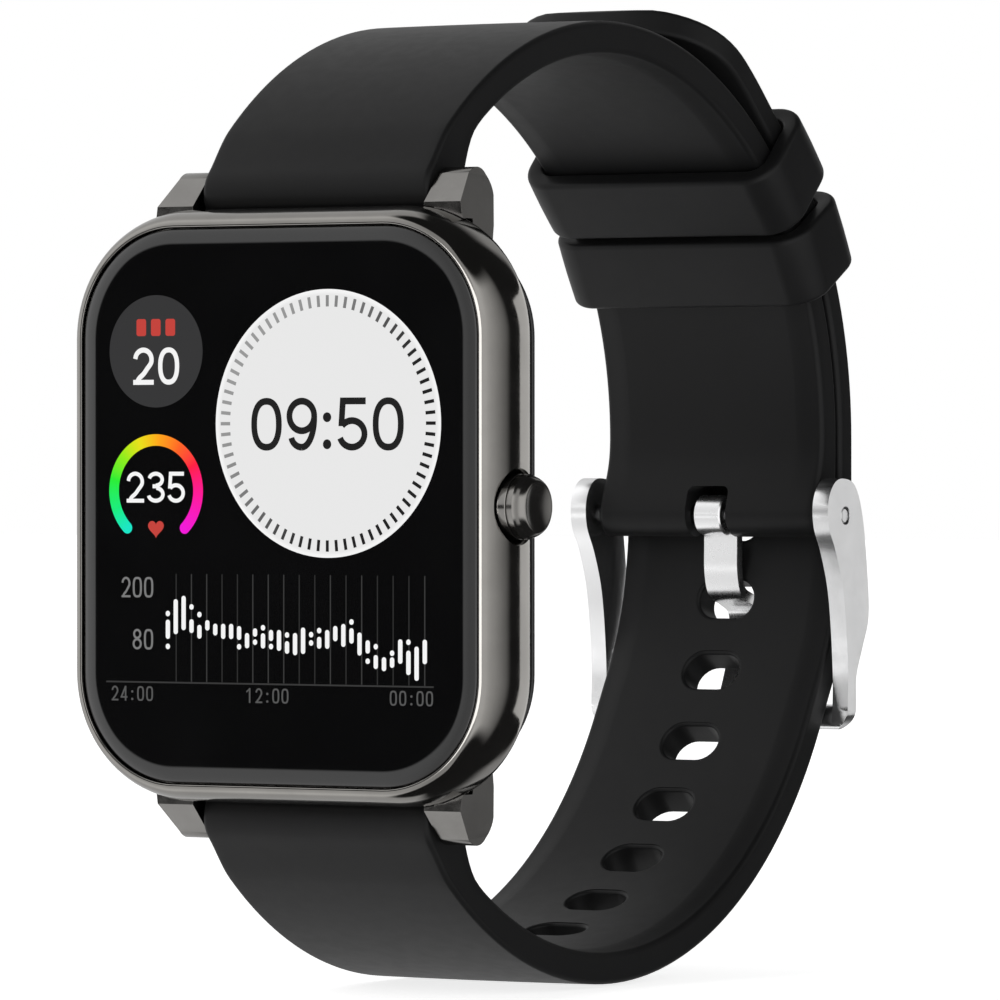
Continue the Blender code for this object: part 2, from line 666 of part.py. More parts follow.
class Track:
    """A smooth line in the (depth, z) plane, made of arcs and straights.

    Each arc is ('arc', (centre, radius, first angle, last angle)), each
    straight ('line', (start, end)); the line runs on without a break."""

    def __init__(self, pieces):
        self.pieces = []                   # start distance, length, kind, data
        self.length = 0.0
        for kind, data in pieces:
            if kind == 'arc':
                _, radius, first, last = data
                length = abs(math.radians(last - first)) * radius
            else:
                length = math.dist(*data)
            self.pieces.append((self.length, length, kind, data))
            self.length += length

    def start_of(self, index):
        return self.pieces[index][0]

    def at(self, s):
        """Point and unit tangent at a distance; beyond the ends it runs on."""
        chosen = self.pieces[0]
        for piece in self.pieces:
            if s >= piece[0] - 1e-9:
                chosen = piece
        start, length, kind, data = chosen
        t = (s - start) / length
        if kind == 'arc':
            centre, radius, first, last = data
            angle = first + (last - first) * t
            sign = 1 if last > first else -1
            slope = math.radians(angle)
            return (polar(centre, radius, angle),
                    (sign * math.cos(slope), -sign * math.sin(slope)))
        (d0, z0), (d1, z1) = data
        return ((d0 + (d1 - d0) * t, z0 + (z1 - z0) * t),
                ((d1 - d0) / length, (z1 - z0) / length))


LOOP_C = (LOOP_D, LOOP_Z)
BACK_C = (BACK_D, BACK_Z)
LOOP_MID_R = LOOP_R - HALF_T
BACK_MID_R = BACK_R - HALF_T
JOIN_A = math.degrees(math.atan2(BACK_D - LOOP_D, BACK_Z - LOOP_Z))    # the two arcs meet
SHORT_A0 = math.degrees(math.atan2(BAR_D - LOOP_D, BAR_Z - LOOP_Z))    # lug end
PIN_A = 90 + math.degrees(math.asin((BACK_Z - PIN_Z) / BACK_MID_R))    # buckle end
SHORT = Track([('arc', (LOOP_C, LOOP_MID_R, SHORT_A0, JOIN_A)),
               ('arc', (BACK_C, BACK_MID_R, JOIN_A, PIN_A))])

LOW_C = (LOOP_D, 0.0)
LOW_MID_R = LOWER_R - HALF_T
LONG_A0 = 180 + math.degrees(math.atan2(LOOP_D - BAR_D, BAR_Z))        # lug end
TAIL_D = BACK_D + BACK_R + LAYER_GAP + TAIL_T / 2                      # tail at the back
TAIL_R = LOOP_R + LAYER_GAP + TAIL_T / 2
LEAVE = polar(LOW_C, LOW_MID_R, LEAVE_A)
TURN_IN = run_straight(LEAVE, LEAVE_A, STRAIGHT)
SWING_R = (TAIL_D - TURN_IN[0]) / (1 - math.sin(math.radians(LEAVE_A)))
SWING_C = (TAIL_D - SWING_R, TURN_IN[1] - SWING_R * math.cos(math.radians(LEAVE_A)))
SPRING_OFF = polar(LOOP_C, TAIL_R, LIFT_A)
CURL_ON = run_straight(SPRING_OFF, LIFT_A, LIFT_L)
LONG = Track([('arc', (LOW_C, LOW_MID_R, LONG_A0, LEAVE_A)),
              ('line', (LEAVE, TURN_IN)),
              ('arc', (SWING_C, SWING_R, LEAVE_A, 90.0)),
              ('line', ((TAIL_D, SWING_C[1]), (TAIL_D, BACK_Z))),
              ('arc', (BACK_C, TAIL_D - BACK_D, 90.0, JOIN_A)),
              ('arc', (LOOP_C, TAIL_R, JOIN_A, LIFT_A)),
              ('line', (SPRING_OFF, CURL_ON)),
              ('arc', (polar(CURL_ON, -LIFT_R, LIFT_A), LIFT_R, LIFT_A, TIP_A))])
THIN_PIECE = 3                     # the piece of LONG where the tail's thickness begins

SHORT_END = SHORT.length
LONG_END = LONG.length
LONG_THIN = LONG.start_of(THIN_PIECE)
# Offsets from the centrelines, outward positive; the pin's is negative.
SHORT_BAR_OFF = math.dist((BAR_D, BAR_Z), LOOP_C) - LOOP_MID_R
LONG_BAR_OFF = math.dist((BAR_D, -BAR_Z), LOW_C) - LOW_MID_R
PIN_OFF = PIN_D - SHORT.at(SHORT_END)[0][0]


# ------------------------------------------------------------ strap sections
# 'outward' is +1 for the short strap and -1 for the long one: the side of the
# tangent on which the outer face lies.
def blend(a, b, t):
    t = min(max(t, 0.0), 1.0)
    return a + (b - a) * t * t * (3 - 2 * t)


def eased_face(start, body, run_in, end, end_from, run_out):
    """Face offset as a function of distance: start to body, then body to end."""
    def offset(s):
        return blend(blend(start, body, s / run_in), end, (s - end_from) / run_out)
    return offset


def strap_section(track, s, outward, half_w, outer, inner):
    """Rounded section square to the track, its faces at these offsets."""
    (depth, z), (tangent_d, tangent_z) = track.at(s)
    normal_d, normal_z = outward * -tangent_z, outward * tangent_d
    edge = min(EDGE_R, (outer - inner) * 0.42, half_w * 0.6)
    outline = rounded_rect(half_w, (outer - inner) / 2, edge, 2, 0, (outer + inner) / 2)
    return [(x, yy(depth + normal_d * off), z + normal_z * off) for x, off in outline]


def barrel_sections(track, s_end, direction, outward, offset, radius):
    """Sections of the round end of a strap, from its extreme inwards."""
    sections, count = [], 5
    for k in range(count):
        angle = math.radians(12 + 78 * k / count)
        s = s_end + direction * radius * math.cos(angle)
        half = radius * math.sin(angle)
        sections.append(strap_section(track, s, outward, STRAP_HALF_W,
                                      offset + half, offset - half))
    return sections


def spread(start, end, step):
    count = max(1, int(round((end - start) / step)))
    return [start + (end - start) * i / count for i in range(count + 1)]


def strap_frame(track, s, outward):
    """Matrix with X across the strap, Y along it and Z outwards."""
    (depth, z), (tangent_d, tangent_z) = track.at(s)
    normal = Vector((0, outward * -tangent_z, outward * tangent_d))
    tangent = Vector((0, tangent_d, tangent_z))
    return axes_matrix(tangent.cross(normal), tangent, normal, (0, yy(depth), z))


LUG_STATIONS = [0.0, 1.0, 2.0, 3.0, 4.2, 5.6, 7.2]      # distances from the bar


def build_short_strap():
    outer = eased_face(SHORT_BAR_OFF + BARREL_R, HALF_T, 4.0,
                       PIN_OFF + PIN_BARREL_R, SHORT_END - 6.0, 6.0)
    inner = eased_face(SHORT_BAR_OFF - BARREL_R, -HALF_T, 7.0,
                       PIN_OFF - PIN_BARREL_R, SHORT_END - 5.0, 5.0)
    stations = LUG_STATIONS + spread(9.8, SHORT_END - 7, 3.0)
    stations += [SHORT_END - back for back in (5, 3.6, 2.4, 1.2, 0)]
    loops = barrel_sections(SHORT, 0.0, -1, 1, SHORT_BAR_OFF, BARREL_R)
    loops += [strap_section(SHORT, s, 1, STRAP_HALF_W, outer(s), inner(s)) for s in stations]
    loops += reversed(barrel_sections(SHORT, SHORT_END, 1, 1, PIN_OFF, PIN_BARREL_R))
    strap = loft("strap_short", loops)
    bool_cylinder(strap, "cut_bar_upper", BAR_BORE_R, -11, 11, 'X', (BAR_D, BAR_Z), 16)
    bool_cylinder(strap, "cut_pin", 0.85, -11, 11, 'X', PIN_AXIS, 16)
    # notch for the tang's knuckle
    boolean(strap, box("cut_notch", (-1.85, yy(PIN_D - 4), PIN_Z - 4),
                       (1.85, yy(PIN_D + 4), PIN_Z + 2.3), CUTTERS, bevel=0.4))
    return finish(strap, SILICONE, 40)


def long_half_width(s):
    """Even width, then a superellipse round the tip."""
    t = max(0.0, (s - (LONG_END - TIP_L)) / TIP_L)
    return STRAP_HALF_W * (1.0 - t ** TIP_POWER) ** (1.0 / TIP_POWER)


def distance_at_height(track, height, lo, hi):
    """Distance where a rising stretch of track passes a height, by halving."""
    for _ in range(60):
        middle = (lo + hi) / 2
        if track.at(middle)[0][1] < height:
            lo = middle
        else:
            hi = middle
    return (lo + hi) / 2


def build_long_strap():
    thin_from = LONG_THIN - 4.0
    outer = eased_face(LONG_BAR_OFF + BARREL_R, HALF_T, 4.0, TAIL_T / 2, thin_from, 6.0)
    inner = eased_face(LONG_BAR_OFF - BARREL_R, -HALF_T, 7.0, -TAIL_T / 2, thin_from, 6.0)
    tip_start = LONG_END - TIP_L
    stations = LUG_STATIONS + spread(10.0, tip_start, 3.1)
    stations += [tip_start + TIP_L * math.sin(math.radians(angle))
                 for angle in (22, 36, 48, 58, 66, 73, 79, 84)]
    loops = barrel_sections(LONG, 0.0, -1, -1, LONG_BAR_OFF, BARREL_R)
    loops += [strap_section(LONG, s, -1, long_half_width(s), outer(s), inner(s))
              for s in stations]
    strap = loft("strap_long", loops)
    bool_cylinder(strap, "cut_bar_lower", BAR_BORE_R, -11, 11, 'X', (BAR_D, -BAR_Z), 16)
    tang_hole = distance_at_height(LONG, TANG_HOLE_Z, LONG.start_of(1), LONG_THIN)
    for k, step in enumerate(range(-6, 4)):      # holes counted from the tang's
        frame = strap_frame(LONG, tang_hole + HOLE_PITCH * step, -1)
        boolean(strap, filled_outline(f"cut_hole_{k}", [stadium(HOLE_W, HOLE_H)], 6, frame,
                                      CUTTERS))
    return finish(strap, SILICONE, 40)


# ------------------------------------------ spring bars with a quick-release pin
# radius, x: tube with a fixed tip on -X and an open bore on +X
BAR_PROFILE = [(0, -2.0), (0.52, -2.0), (0.52, 9.55), (BAR_TUBE_R, 9.55), (BAR_TUBE_R, -9.60),
               (0.42, -9.62), (0.42, -10.85), (0.36, -10.95), (0, -10.95)]
# radius, x: sliding pin
RELEASE_PROFILE = [(0, 11.25), (0.34, 11.25), (0.42, 11.15), (0.42, 9.8), (0.40, 9.75),
                   (0.40, 2.9), (0, 2.9)]


def build_spring_bar(tag, z, strap, track, outward):
    """Hollow bar with one fixed tip, a sliding tip with a thumb lever, a spring."""
    axis = (BAR_D, z)
    _, (tangent_d, tangent_z) = track.at(0.0)
    to_wrist = Vector((0, outward * tangent_z, -outward * tangent_d)).normalized()
    across = Vector((1, 0, 0))
    lever_frame = axes_matrix(across, to_wrist.cross(across), to_wrist, (0, yy(BAR_D), z))

    def lever_box(name, x0, x1, half_width, reach0, reach1):
        """A box with its Z turned towards the wrist, measured from the bar's axis."""
        ob = box(f"{name}_{tag}", (x0, -half_width, reach0), (x1, half_width, reach1), CUTTERS)
        ob.data.transform(lever_frame)
        return ob

    bar = turned(f"spring_bar_{tag}", BAR_PROFILE, 'X', axis, 14)
    # the slot on the wrist side of the tube is long enough for the travel
    boolean(bar, lever_box("cut_lever_slot", 3.6, 5.9, 0.34, 0.3, 1.4))
    finish(bar, STEEL)
    boolean(strap, lever_box("cut_lever_window", 2.9, 6.6, 1.0, 0.2, 4.5))

    pin = turned(f"release_pin_{tag}", RELEASE_PROFILE, 'X', axis, 12)
    boolean(pin, lever_box("lever_post", 5.05, 5.55, 0.22, -0.1, 1.9), 'UNION')
    boolean(pin, lever_box("lever_knob", 4.85, 5.75, 0.55, 1.8, 2.5), 'UNION')
    finish(pin, STEEL)
    coil(f"release_spring_{tag}", radius=0.33, wire=0.09, x0=-1.75, x1=2.7, turns=5.0,
         centre=axis, segments=8)


# ---------------------------------------------------------------------- keepers
def short_distance(angle):
    """Distance along the short strap where its normal stands at an angle."""
    if angle <= JOIN_A:
        return math.radians(angle - SHORT_A0) * LOOP_MID_R
    return SHORT.start_of(1) + math.radians(angle - JOIN_A) * BACK_MID_R


def build_keeper(name, angle):
    """Closed band round both strap layers, square to the short strap."""
    lo = -HALF_T - 0.30
    hi = HALF_T + LAYER_GAP + TAIL_T + 0.40
    half_w, half_h = STRAP_HALF_W + 0.25, (hi - lo) / 2
    outlines = [rounded_rect(half_w + KEEPER_T, half_h + KEEPER_T, 2.7, 5),
                rounded_rect(half_w, half_h, 1.2, 3)]
    # drawn X across, Y outwards; the extrusion runs along the strap
    matrix = (strap_frame(SHORT, short_distance(angle), 1)
              @ Matrix.Translation((0, 0, (lo + hi) / 2 * MM))
              @ Matrix.Rotation(math.radians(90), 4, 'X'))
    keeper = filled_outline(name, outlines, KEEPER_H, matrix)
    round_edges(keeper, 0.35, 2, angle=60)
    finish(keeper, SILICONE, 40)


# ----------------------------------------------------------------------- buckle
# Arm outline, as (rearwards, up) from the pin's axis.
ARM = [(-0.4, 2.9), (1.5, 2.35), (2.7, 0.0), (3.45, -4.2), (3.70, -7.9), (2.75, -10.3),
       (1.75, -12.6), (1.70, -14.9), (1.55, -16.1), (0.95, -16.75), (0.35, -16.3), (0.38, -14.9),
       (0.42, -12.4), (0.10, -8.7), (-0.45, -5.6), (-1.5, -2.9), (-2.6, -0.9), (-2.7, 1.1),
       (-1.8, 2.5)]
# Tang blade's centreline, as (rearwards, up) from the pin's axis: along the wrist
# side of the long strap, out through its hole, down to rest on the frame's bar.
BLADE = [(1.15, -0.3), (1.15, -2.4), (1.18, -4.5), (1.75, -6.05), (3.30, -6.72), (4.70, -7.40),
         (5.15, -8.7), (4.95, -10.8), (4.05, -13.2), (2.90, -15.5), (2.55, -16.4)]
# radius, x
PIN_PROFILE = [(0, 11.70), (0.50, 11.70), (0.58, 11.62), (0.58, -11.62), (0.50, -11.70),
               (0, -11.70)]


def from_pin(points):
    return [(PIN_D + rearwards, PIN_Z + up) for rearwards, up in points]


def buckle_bar_outline():
    """Leaning oval, as (depth, z) points."""
    lean = math.radians(BUCKLE_BAR_LEAN)
    points = []
    for k in range(16):
        angle = math.radians(22.5 * k)
        wide = BUCKLE_BAR_WIDE * math.cos(angle)
        thick = BUCKLE_BAR_THICK * math.sin(angle)
        points.append((BUCKLE_BAR[0] + wide * math.cos(lean) - thick * math.sin(lean),
                       BUCKLE_BAR[1] + wide * math.sin(lean) + thick * math.cos(lean)))
    return points


def build_buckle_frame():
    """Two arms joined by a bar, with the outer corners rounded off."""
    outline = from_pin(smooth_closed(ARM, 2))
    frame = plate_x("buckle_frame", outline, ARM_IN, ARM_OUT, bevel=0.3)
    left_arm = plate_x("buckle_left_arm", outline, -ARM_OUT, -ARM_IN, CUTTERS, bevel=0.3)
    boolean(frame, left_arm, 'UNION')
    bar_half = ARM_IN + 0.7
    bar = plate_x("buckle_bar", buckle_bar_outline(), -bar_half, bar_half, CUTTERS)
    boolean(frame, bar, 'UNION')
    bottom, half_height = PIN_Z - 17.0, 12.0
    corners = rounded_rect(ARM_OUT + 0.02, half_height, 2.0, 5, 0, bottom + half_height)
    boolean(frame, plate_y("buckle_corners", [corners], PIN_D - 6, PIN_D + 8, CUTTERS),
            'INTERSECT')
    bool_cylinder(frame, "cut_arm_bores", PIN_BORE_R, -13, 13, 'X', PIN_AXIS, 16)
    finish(frame, STEEL, 35)


def build_tang():
    """A knuckle round the pin and a bent blade."""
    tang = plate_x("buckle_tang", ribbon(from_pin(BLADE), 0.42), -1.5, 1.5,
                   bevel=0.16, segments=1)
    bool_cylinder(tang, "tang_knuckle", 1.58, -1.25, 1.25, 'X', PIN_AXIS, 20, 'UNION')
    bool_cylinder(tang, "cut_tang_bore", PIN_BORE_R, -3, 3, 'X', PIN_AXIS, 16)
    finish(tang, STEEL, 35)


# ------------------------------------------------------------ pivots for motion
UPPER_BAR = (0, yy(BAR_D), BAR_Z)
LOWER_BAR = (0, yy(BAR_D), -BAR_Z)
BUCKLE_PIN = (0, yy(PIN_D), PIN_Z)
# name, place, parent pivot, pieces held
PIVOTS = (
    ("pivot_strap_upper", UPPER_BAR, None,
     ("strap_short", "keeper_fixed", "spring_bar_upper", "release_spring_upper")),
    ("pivot_strap_lower", LOWER_BAR, None,
     ("strap_long", "spring_bar_lower", "release_spring_lower")),
    ("pivot_buckle", BUCKLE_PIN, "pivot_strap_upper", ("buckle_frame", "buckle_pin")),
    ("pivot_tang", BUCKLE_PIN, "pivot_buckle", ("buckle_tang",)),
    ("pivot_keeper", (0, yy(LOOP_D), LOOP_Z), "pivot_strap_upper", ("keeper_free",)),
    ("pivot_button", (0, yy(BUTTON_D), 0), None,
     ("button_cap", "button_clip", "button_seal")),
    ("pivot_release_upper", UPPER_BAR, "pivot_strap_upper", ("release_pin_upper",)),
    ("pivot_release_lower", LOWER_BAR, "pivot_strap_lower", ("release_pin_lower",)),
)


def adopt(parent, child):
    """Parent the child without moving it."""
    keep = child.matrix_world.copy()
    child.parent = parent
    child.matrix_parent_inverse = parent.matrix_world.inverted()
    child.matrix_world = keep


def build_pivots():
    bpy.context.view_layer.update()
    empties = {}
    for name, place, _, _ in PIVOTS:
        empty = add(name, None)
        empty.empty_display_size = 0.004
        empty.location = Vector(place) * MM
        empties[name] = empty
    bpy.context.view_layer.update()
    for name, _, parent, _ in PIVOTS:
        if parent:
            adopt(empties[parent], empties[name])
    bpy.context.view_layer.update()
    for name, _, _, pieces in PIVOTS:
        for piece in pieces:
            adopt(empties[name], bpy.data.objects[piece])
    bpy.context.view_layer.update()


# ---------------------------------------------------------------------- build
build_bezel()
build_frame()
build_glass()
build_front_stack()
build_rear_cover()
build_sensor()
build_charging()
for index, (screw_x, screw_z) in enumerate(SCREW_PLACES):
    build_screw(f"rear_screw_{index + 1}", screw_x, screw_z)
build_button()
short_strap = build_short_strap()
long_strap = build_long_strap()
build_spring_bar("upper", BAR_Z, short_strap, SHORT, 1)
build_spring_bar("lower", -BAR_Z, long_strap, LONG, -1)
build_keeper("keeper_fixed", FIXED_KEEPER_A)
build_keeper("keeper_free", FREE_KEEPER_A)
build_buckle_frame()
finish(turned("buckle_pin", PIN_PROFILE, 'X', PIN_AXIS, 16), STEEL)
build_tang()
build_pivots()
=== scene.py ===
# A wrist watch with a rounded-rectangle case and a two-part silicone strap, buckled into a
# loop. Origin on the rear sensor window, display facing -Y, 12 o'clock +Z, button on +X.
# Lengths are millimetres unless noted; a "depth" is measured from the display towards +Y.
import math
from collections import namedtuple

import bmesh
import bpy
from mathutils import Matrix, Vector


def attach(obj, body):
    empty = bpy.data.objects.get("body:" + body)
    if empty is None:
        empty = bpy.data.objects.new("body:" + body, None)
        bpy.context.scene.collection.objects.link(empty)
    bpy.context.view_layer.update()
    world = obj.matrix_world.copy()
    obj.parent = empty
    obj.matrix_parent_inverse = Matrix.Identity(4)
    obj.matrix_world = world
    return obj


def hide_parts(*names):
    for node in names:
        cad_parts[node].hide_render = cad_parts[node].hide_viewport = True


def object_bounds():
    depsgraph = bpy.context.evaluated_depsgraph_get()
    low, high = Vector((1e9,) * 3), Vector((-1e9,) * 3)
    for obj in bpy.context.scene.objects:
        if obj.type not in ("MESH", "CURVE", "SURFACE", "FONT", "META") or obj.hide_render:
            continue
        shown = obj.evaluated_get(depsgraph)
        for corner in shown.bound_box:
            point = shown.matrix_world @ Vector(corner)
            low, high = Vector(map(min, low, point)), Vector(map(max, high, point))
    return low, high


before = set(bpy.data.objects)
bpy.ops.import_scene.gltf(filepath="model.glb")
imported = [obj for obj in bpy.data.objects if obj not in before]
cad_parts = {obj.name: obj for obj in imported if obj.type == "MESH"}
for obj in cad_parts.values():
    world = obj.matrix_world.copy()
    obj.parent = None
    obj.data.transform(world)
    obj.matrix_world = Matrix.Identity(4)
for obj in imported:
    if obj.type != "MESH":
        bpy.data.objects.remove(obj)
bpy.context.view_layer.update()
MM = 0.001

# ------------------------------------------------------------------ dimensions
FRONT = -10.8                                   # y of the display face
CASE_W, CASE_H, CASE_R = 37.1, 43.4, 9.5
SIDE_STEPS = tuple(round((size - 2 * CASE_R) / 1.2) for size in (CASE_W, CASE_H))
GLASS_INSET = 1.52
LUG_IN, LUG_TIP, LUG_FOOT = 10.05, 12.6, 13.4   # x of the lugs' inner face, outer tip and foot
BAR_D, BAR_Z, BARREL_R = 7.2, 23.0, 2.3         # spring bars and the strap ends round them
BUTTON_D, BUTTON_R, BUTTON_FACE_X = 3.38, 2.35, 20.28
WELL_R = BUTTON_R + 0.2
STRAP_HALF_W, STRAP_T, TAIL_T, LAYER_GAP = 9.8, 2.65, 2.30, 0.25
HALF_T = STRAP_T / 2
# The strap's arcs: centres as (depth, z), radii to the outer face
LOOP_CENTRE, LOOP_R = (31.3, 0.8), 35.5
BACK_CENTRE, BACK_R = (35.8, 5.05), 29.3
LOWER_CENTRE, LOWER_R = (LOOP_CENTRE[0], 0.0), 36.0
PIN_D, PIN_Z, PIN_BARREL_R = 62.9, -1.0, 1.75
HOLE_PITCH, HOLE_W, HOLE_H, HOLE_RIM_R = 6.5, 4.9, 3.1, 0.26
TANG_HOLE_Z = -7.95                             # height of the hole the tang passes through
KEEPER_T, KEEPER_H = 1.45, 5.8
ARM_IN, ARM_OUT = 10.35, 11.75


def y_at(depth):
    return FRONT + depth


# ---------------------------------------------------------------- node helpers
class Nodes:
    """Lays nodes into a shader tree."""

    def __init__(self, tree):
        self.tree = tree

    def node(self, kind, **props):
        node = self.tree.nodes.new("ShaderNode" + kind)
        for key, value in props.items():
            setattr(node, key, value)
        return node

    def link(self, output, socket):
        self.tree.links.new(output, socket)

    def calc(self, operation, *values):
        """A math node fed by numbers or outputs."""
        node = self.node("Math", operation=operation)
        for socket, value in zip(node.inputs, values):
            if isinstance(value, (int, float)):
                socket.default_value = value
            else:
                self.link(value, socket)
        return node.outputs[0]

    def ramp(self, value, low=0.0, high=1.0, start=0.3, end=0.7, kind='SMOOTHSTEP'):
        """Goes from low to high as value goes from start to end."""
        node = self.node("MapRange", interpolation_type=kind)
        limits = {"From Min": start, "From Max": end, "To Min": low, "To Max": high}
        for key, limit in limits.items():
            node.inputs[key].default_value = limit
        self.link(value, node.inputs["Value"])
        return node.outputs["Result"]


class Shader(Nodes):
    """A material built round its Principled BSDF, textured in object space (metres)."""

    def __init__(self, name):
        self.mat = bpy.data.materials.new(name)
        self.mat.use_nodes = True
        super().__init__(self.mat.node_tree)
        self.bsdf = self.tree.nodes["Principled BSDF"]
        self.coords = self.node("TexCoord").outputs["Object"]

    def set(self, **values):
        for key, value in values.items():
            self.bsdf.inputs[key.replace("_", " ")].default_value = value

    def feed(self, output, socket):
        self.link(output, self.bsdf.inputs[socket])

    def noise(self, scale, detail, rough=0.55, stretch=None):
        noise = self.node("TexNoise")
        noise.inputs["Scale"].default_value = scale
        noise.inputs["Detail"].default_value = detail
        noise.inputs["Roughness"].default_value = rough
        source = self.coords
        if stretch:
            mapping = self.node("Mapping")
            mapping.inputs["Scale"].default_value = stretch
            self.link(source, mapping.inputs["Vector"])
            source = mapping.outputs["Vector"]
        self.link(source, noise.inputs["Vector"])
        return noise.outputs["Fac"]

    def mix(self, factor, first, second):
        node = self.node("Mix", data_type='RGBA')
        self.link(factor, node.inputs["Factor"])
        node.inputs["A"].default_value = (*first, 1)
        node.inputs["B"].default_value = (*second, 1)
        return node.outputs["Result"]

    def tone(self, dark, light, **noise):
        """Base colour wandering between two tones."""
        self.feed(self.mix(self.ramp(self.noise(**noise)), dark, light), "Base Color")

    def gloss(self, limits, **noise):
        """Roughness wandering between two limits."""
        self.feed(self.ramp(self.noise(**noise), *limits), "Roughness")

    def bump(self, height, strength, distance):
        node = self.node("Bump")
        node.inputs["Strength"].default_value = strength
        node.inputs["Distance"].default_value = distance
        self.link(height, node.inputs["Height"])
        self.feed(node.outputs["Normal"], "Normal")

    def lit(self, colour):
        """Emits the colour from a dark, nearly matt surface."""
        self.feed(colour, "Emission Color")
        self.set(Emission_Strength=1.0, Base_Color=(0.01, 0.01, 0.01, 1), Roughness=0.35,
                 Specular_IOR_Level=0.05)
        return self.mat


# ------------------------------------------------------------------- materials
def silicone(name, dark, light, rough):
    """Moulded silicone: very fine grain, soft sheen, faint change of tone."""
    shader = Shader(name)
    shader.tone(dark, light, scale=60, detail=2)
    shader.gloss(rough, scale=900, detail=3)
    shader.bump(shader.noise(scale=7000, detail=2, rough=0.6), strength=0.06, distance=0.00003)
    shader.set(Specular_IOR_Level=0.20, Sheen_Weight=0.02, Sheen_Roughness=0.4)
    return shader.mat


def metal(name, dark, light, rough, grain=None, strength=0.0):
    """Metal of uneven gloss; grain is the scale of its bump, strength its height."""
    shader = Shader(name)
    shader.tone(dark, light, scale=260, detail=4)
    shader.gloss(rough, scale=780, detail=5, rough=0.65)
    shader.set(Metallic=1.0)
    if grain:
        height = shader.noise(scale=grain, detail=2, rough=0.5, stretch=(1, 1, 1))
        shader.bump(height, strength=strength, distance=0.00002)
    return shader.mat


def plastic(name, dark, light, rough, grain=3000, strength=0.06):
    shader = Shader(name)
    shader.tone(dark, light, scale=150, detail=3)
    shader.gloss(rough, scale=500, detail=4)
    shader.bump(shader.noise(scale=grain, detail=2), strength=strength, distance=0.00003)
    return shader.mat


def black_glass():
    """Black-backed cover glass."""
    shader = Shader("cover_glass_black")
    shader.tone((0.0036, 0.0036, 0.0038), (0.0044, 0.0044, 0.0046), scale=60, detail=2)
    shader.gloss((0.035, 0.06), scale=240, detail=3)
    shader.set(Specular_IOR_Level=0.9)
    return shader.mat


def lens_glass():
    """Dark tinted window, partly see-through."""
    shader = Shader("sensor_lens_glass")
    shader.tone((0.008, 0.008, 0.010), (0.012, 0.012, 0.015), scale=200, detail=2)
    shader.gloss((0.03, 0.06), scale=600, detail=3)
    shader.set(Specular_IOR_Level=0.6, Alpha=0.62)
    return shader.mat


GUNMETAL = metal("gunmetal", dark=(0.275, 0.265, 0.25), light=(0.305, 0.294, 0.278),
                 rough=(0.07, 0.11), grain=5200, strength=0.012)
CROWN_METAL = metal("crown_gunmetal", dark=(0.26, 0.252, 0.24), light=(0.29, 0.281, 0.268),
                    rough=(0.15, 0.20), grain=5200, strength=0.012)
LUG_METAL = metal("lug_gunmetal", dark=(0.235, 0.228, 0.218), light=(0.262, 0.255, 0.245),
                  rough=(0.14, 0.19), grain=5200, strength=0.04)
STEEL = metal("polished_steel", dark=(0.88, 0.88, 0.885), light=(0.92, 0.92, 0.925),
              rough=(0.20, 0.26), grain=4200, strength=0.015)
TANG_STEEL = metal("tang_steel", dark=(0.90, 0.90, 0.905), light=(0.92, 0.92, 0.925),
                   rough=(0.26, 0.28), grain=4200, strength=0.02)
SPRING_STEEL = metal("spring_wire", dark=(0.50, 0.50, 0.51), light=(0.60, 0.60, 0.61),
                     rough=(0.22, 0.32))
NICKEL = metal("nickel_plate", dark=(0.58, 0.58, 0.56), light=(0.66, 0.66, 0.64),
               rough=(0.16, 0.26))
GOLD = metal("contact_gold", dark=(0.80, 0.58, 0.22), light=(0.88, 0.68, 0.32),
             rough=(0.14, 0.24))
FOIL = metal("pouch_foil", dark=(0.46, 0.47, 0.49), light=(0.56, 0.57, 0.59),
             rough=(0.28, 0.42), grain=1400, strength=0.25)
STRAP_TONES = dict(dark=(0.0074, 0.0074, 0.0077), light=(0.0090, 0.0090, 0.0093),
                   rough=(0.44, 0.47))
RUBBER_SHORT = silicone("strap_silicone_short", **STRAP_TONES)
RUBBER_LONG = silicone("strap_silicone_long", **STRAP_TONES)
RUBBER_KEEPER = silicone("keeper_silicone", dark=(0.0082, 0.0082, 0.0085),
                         light=(0.0100, 0.0100, 0.0104), rough=(0.42, 0.46))
SEAL = silicone("seal_rubber", dark=(0.008, 0.008, 0.008), light=(0.013, 0.013, 0.013),
                rough=(0.55, 0.7))
REAR = plastic("rear_shell_plastic", dark=(0.010, 0.010, 0.011), light=(0.014, 0.014, 0.015),
               rough=(0.22, 0.32))
INNER = plastic("inner_plastic", dark=(0.035, 0.035, 0.04), light=(0.05, 0.05, 0.055),
                rough=(0.45, 0.6))
PANEL = plastic("panel_edge", dark=(0.012, 0.012, 0.015), light=(0.018, 0.018, 0.022),
                rough=(0.2, 0.3))
BOARD = plastic("solder_mask", dark=(0.012, 0.075, 0.03), light=(0.018, 0.10, 0.045),
                rough=(0.35, 0.5), grain=1800, strength=0.2)
GLASS = black_glass()
LENS = lens_glass()


# --------------------------------------------------------------- mesh helpers
def put(name, mesh, material, body=None, replaces=None, smooth=None, weighted=False):
    """Place a finished piece; smooth is the sharp-edge angle in degrees."""
    piece = bpy.data.objects.new(name, mesh)
    bpy.context.scene.collection.objects.link(piece)
    mesh.materials.clear()
    mesh.materials.append(material)
    if smooth is not None:
        mesh.shade_smooth()
        mesh.set_sharp_from_angle(angle=math.radians(smooth))
    if weighted:
        normals = piece.modifiers.new("normals", 'WEIGHTED_NORMAL')
        normals.keep_sharp = True
    if body:
        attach(piece, body)
    if replaces:
        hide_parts(replaces)
    return piece


